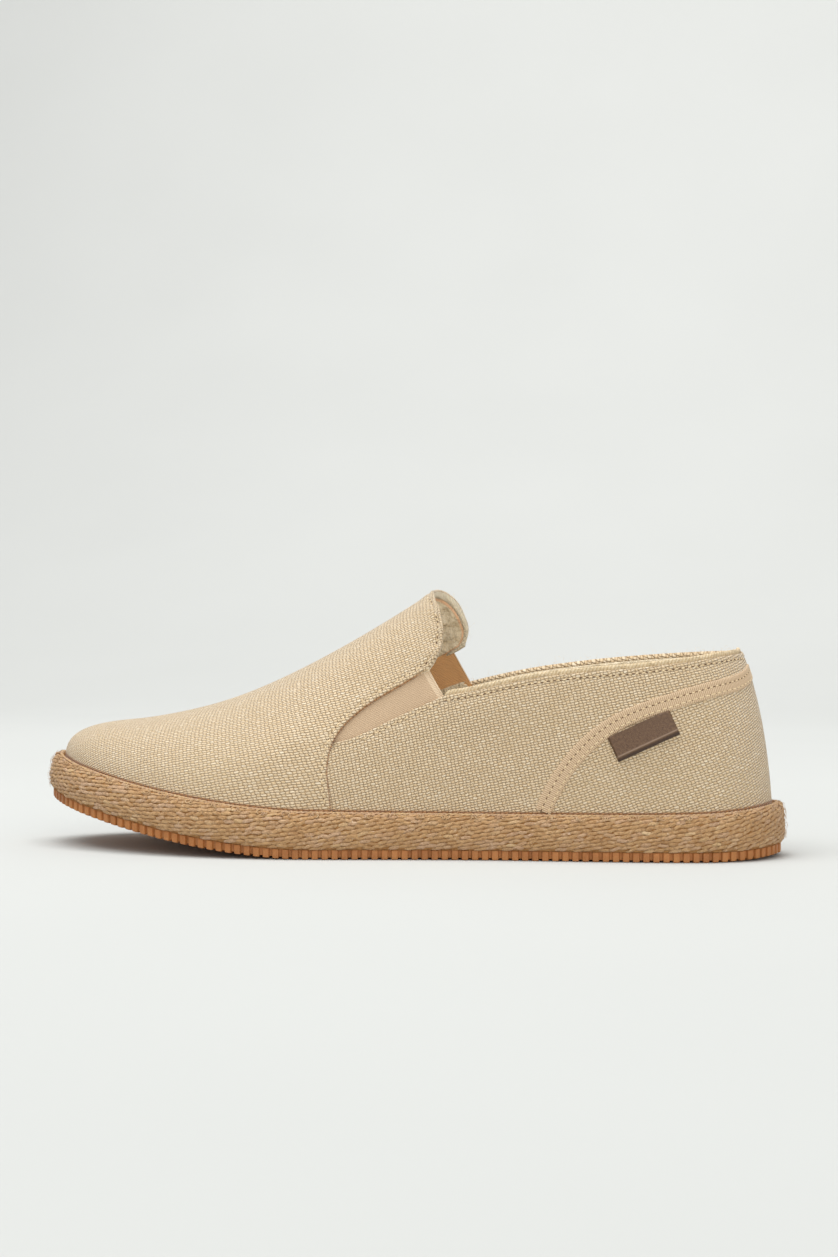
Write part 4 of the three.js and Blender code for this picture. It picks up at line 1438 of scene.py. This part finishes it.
def make_fuzz(jute):
    """Loose jute hairs, thickest at the toe and the heel."""
    rng = np.random.default_rng(31)
    bundle = Bundle()
    toe = RIM_ARC[np.searchsorted(RIM_U, HALF)]
    t = np.linspace(0.0, 1.0, 5)
    for _ in range(HAIRS):
        where = rng.random()
        if where < 0.25:
            arc = toe + rng.normal(0, 24)
        elif where < 0.5:
            arc = rng.normal(0, 24)
        else:
            arc = rng.uniform(0, PERIMETER)
        share = rng.uniform(0.06, 0.97)
        length = rng.uniform(1.2, 4.2)
        heading = rng.uniform(0, 2 * math.pi)
        curl = rng.normal(0, 1.2)
        at = arc + length * 0.8 * t * np.cos(heading + curl * t)
        share = np.clip(share + length * 0.8 * t * np.sin(heading + curl * t) / 13.2, 0.02, 1.0)
        out = 0.15 + rng.uniform(0.25, 1.0) * np.sin(t * rng.uniform(1.2, 2.6))
        add_hair(bundle, at, share, out, 0.055 * (1.15 - t), 3, lambda: rng.uniform(0.5, 1.0))
    bundle.build("jute_fuzz", "strand", jute, "jute", "jute_sole")


def field_height(s, y, _):
    """The tread inside the sole's border: low zigzag waves across it."""
    zigzag = FIELD["zigzag"] * np.abs((y / 9.0) % 2.0 - 1.0)
    wave = 0.5 + 0.5 * np.cos((s + zigzag) * 2 * math.pi / FIELD["pitch"])
    return FIELD["height"] - FIELD["wave"] * wave


def make_outsole(rubber):
    """The rubber: ribs all round its edge, a border they run into, and a finely ribbed field underneath."""
    starts = np.arange(RIBS["count"])[:, None]
    u = rim_u(((starts + RIB_SHAPE[:, 0]) * PERIMETER / RIBS["count"]).ravel())
    depth = np.tile(RIB_SHAPE[:, 1], RIBS["count"])
    notch = np.tile(RIB_SHAPE[:, 2], RIBS["count"])
    uneven = np.repeat(np.random.default_rng(3).normal(0.0, 0.06, RIBS["count"]), len(RIB_SHAPE))
    face = RUBBER["inset"] + uneven
    cut = RIBS["deep"] * depth
    border = RIBS["reach"] + 0.6
    thick = RUBBER["thick"]
    rings = inward_rings(u, border, np.linspace(0.0, 1.0, 17)[1:], field_height)[::-1]
    rings += [ring(u, inset, height) for inset, height in (
        (border, FIELD["height"]),
        (RIBS["reach"], 0.1 + 0.3 * depth),
        (3.2, 0.7 * notch),
        (RUBBER["inset"] + 0.9 + 0.5 * depth, 0.7 * notch),
        (face + 0.3 + cut, 0.05 + 0.65 * notch),
        (face + 0.05 + cut, 0.25 + 0.5 * notch),
        (face + cut, 0.9 + 0.1 * notch),
        (face + cut, 2.4),
        (face + 0.9 * cut, thick - 0.3),
        (RUBBER["inset"] + 0.25 + 0.6 * cut, thick),
    )]
    rings += flat_rings(u, 3.0, thick, 2)
    add_piece("rubber_outsole", np.vstack(rings), grid_faces(len(rings), len(u), wrap_columns=True), rubber,
              "outsole", sharp=35)


def make_insole(cloth):
    """The cloth-covered footbed, slightly dished, with a soft rolled rim."""
    u = np.linspace(0.0, ROUND, 240, endpoint=False)
    edge = lean(u) + BAND_THICK + GAP + WALL + INSOLE["inset"] - 0.6
    base = JUTE_FLOOR + GAP
    top = base + INSOLE["thick"]
    rim = ((3.0, base), (0.4, base), (0.0, base + 0.6), (0.0, top - 0.9), (0.25, top - 0.3), (0.8, top))

    def dished(s, _, t):
        return top - 0.7 * smoothstep(0.0, 0.7, t) * smoothstep(70.0, 30.0, s)

    rings = flat_rings(u, edge + 6.0, base, 2)[::-1]
    rings += [ring(u, edge + inset, height) for inset, height in rim]
    rings += inward_rings(u, edge + 0.8, np.linspace(0.0, 1.0, 13)[1:], dished, (45.0, 50.0))
    points = np.vstack(rings)
    add_piece("footbed", points, grid_faces(len(rings), len(u), wrap_columns=True), cloth,
              "insole", {"weave": points * (1.0, 1.0, 0.0)})


# ---------------------------------------------------------------- studio
def add_to_scene(name, data):
    made = bpy.data.objects.new(name, data)
    bpy.context.scene.collection.objects.link(made)
    return made


def make_camera():
    data = bpy.data.cameras.new("camera")
    data.lens = CAMERA["lens"]
    data.sensor_width = CAMERA["sensor"]
    camera = add_to_scene("camera", data)
    camera.location = CAMERA["place"]
    camera.rotation_euler = (math.radians(90.0), 0.0, math.radians(CAMERA["azimuth"]))
    bpy.context.scene.camera = camera


def make_light(name, location, target, size, power, color):
    data = bpy.data.lights.new(name, "AREA")
    data.shape = "DISK"
    data.size = size
    data.energy = power
    data.color = color
    light = add_to_scene(name, data)
    light.location = location
    light.rotation_euler = (Vector(target) - Vector(location)).to_track_quat("-Z", "Y").to_euler()


def make_stage(paper):
    """A floor that curves up into a backdrop behind the shoe."""
    back, radius = STAGE["back"], STAGE["radius"]
    profile = [(STAGE["front"], 0.0), (back, 0.0)]
    profile += [(back + radius * math.sin(a), radius * (1 - math.cos(a)))
                for a in np.linspace(0.1, math.pi / 2, 16)]
    profile.append((back + radius, STAGE["tall"]))
    mesh = bpy.data.meshes.new("floor")
    points = [(x, y, z) for y, z in profile for x in (-STAGE["wide"], STAGE["wide"])]
    mesh.from_pydata(points, [], [(i, i + 1, i + 3, i + 2) for i in range(0, len(points) - 2, 2)])
    mesh.shade_smooth()
    mesh.materials.append(paper)
    add_to_scene("floor", mesh)


def make_studio():
    scene = bpy.context.scene
    scene.view_settings.view_transform = "Standard"
    scene.world = bpy.data.worlds.new("studio")
    scene.world.use_nodes = True
    background = scene.world.node_tree.nodes["Background"]
    background.inputs["Color"].default_value = linear(WORLD["color"])
    background.inputs["Strength"].default_value = WORLD["strength"]
    for light in LIGHTS:
        make_light(*light)


def make_shoe():
    canvas = canvas_material()
    make_vamp(canvas)
    make_quarters(canvas)
    make_lining(lining_material())
    elastic = elastic_material()
    make_gore("lateral", 4.5, 8.5, elastic)
    make_gore("medial", 15.5, 19.5, elastic)
    make_tape(tape_material())
    thread = thread_material("thread", (200, 172, 130), (232, 212, 176))
    # The dark thread material for the needle holes is painted shade.
    make_stitches(thread, thread_material("hole_shade", (70, 46, 24), (112, 78, 44)))
    make_lint(thread)
    make_label(label_material())
    jute = jute_material()
    make_jute_core(core_material())
    make_jute_strands(jute)
    make_jute_edge(jute)
    make_fuzz(jute)
    make_outsole(rubber_material())
    make_insole(insole_material())


make_camera()
make_stage(floor_material())
make_studio()
make_shoe()
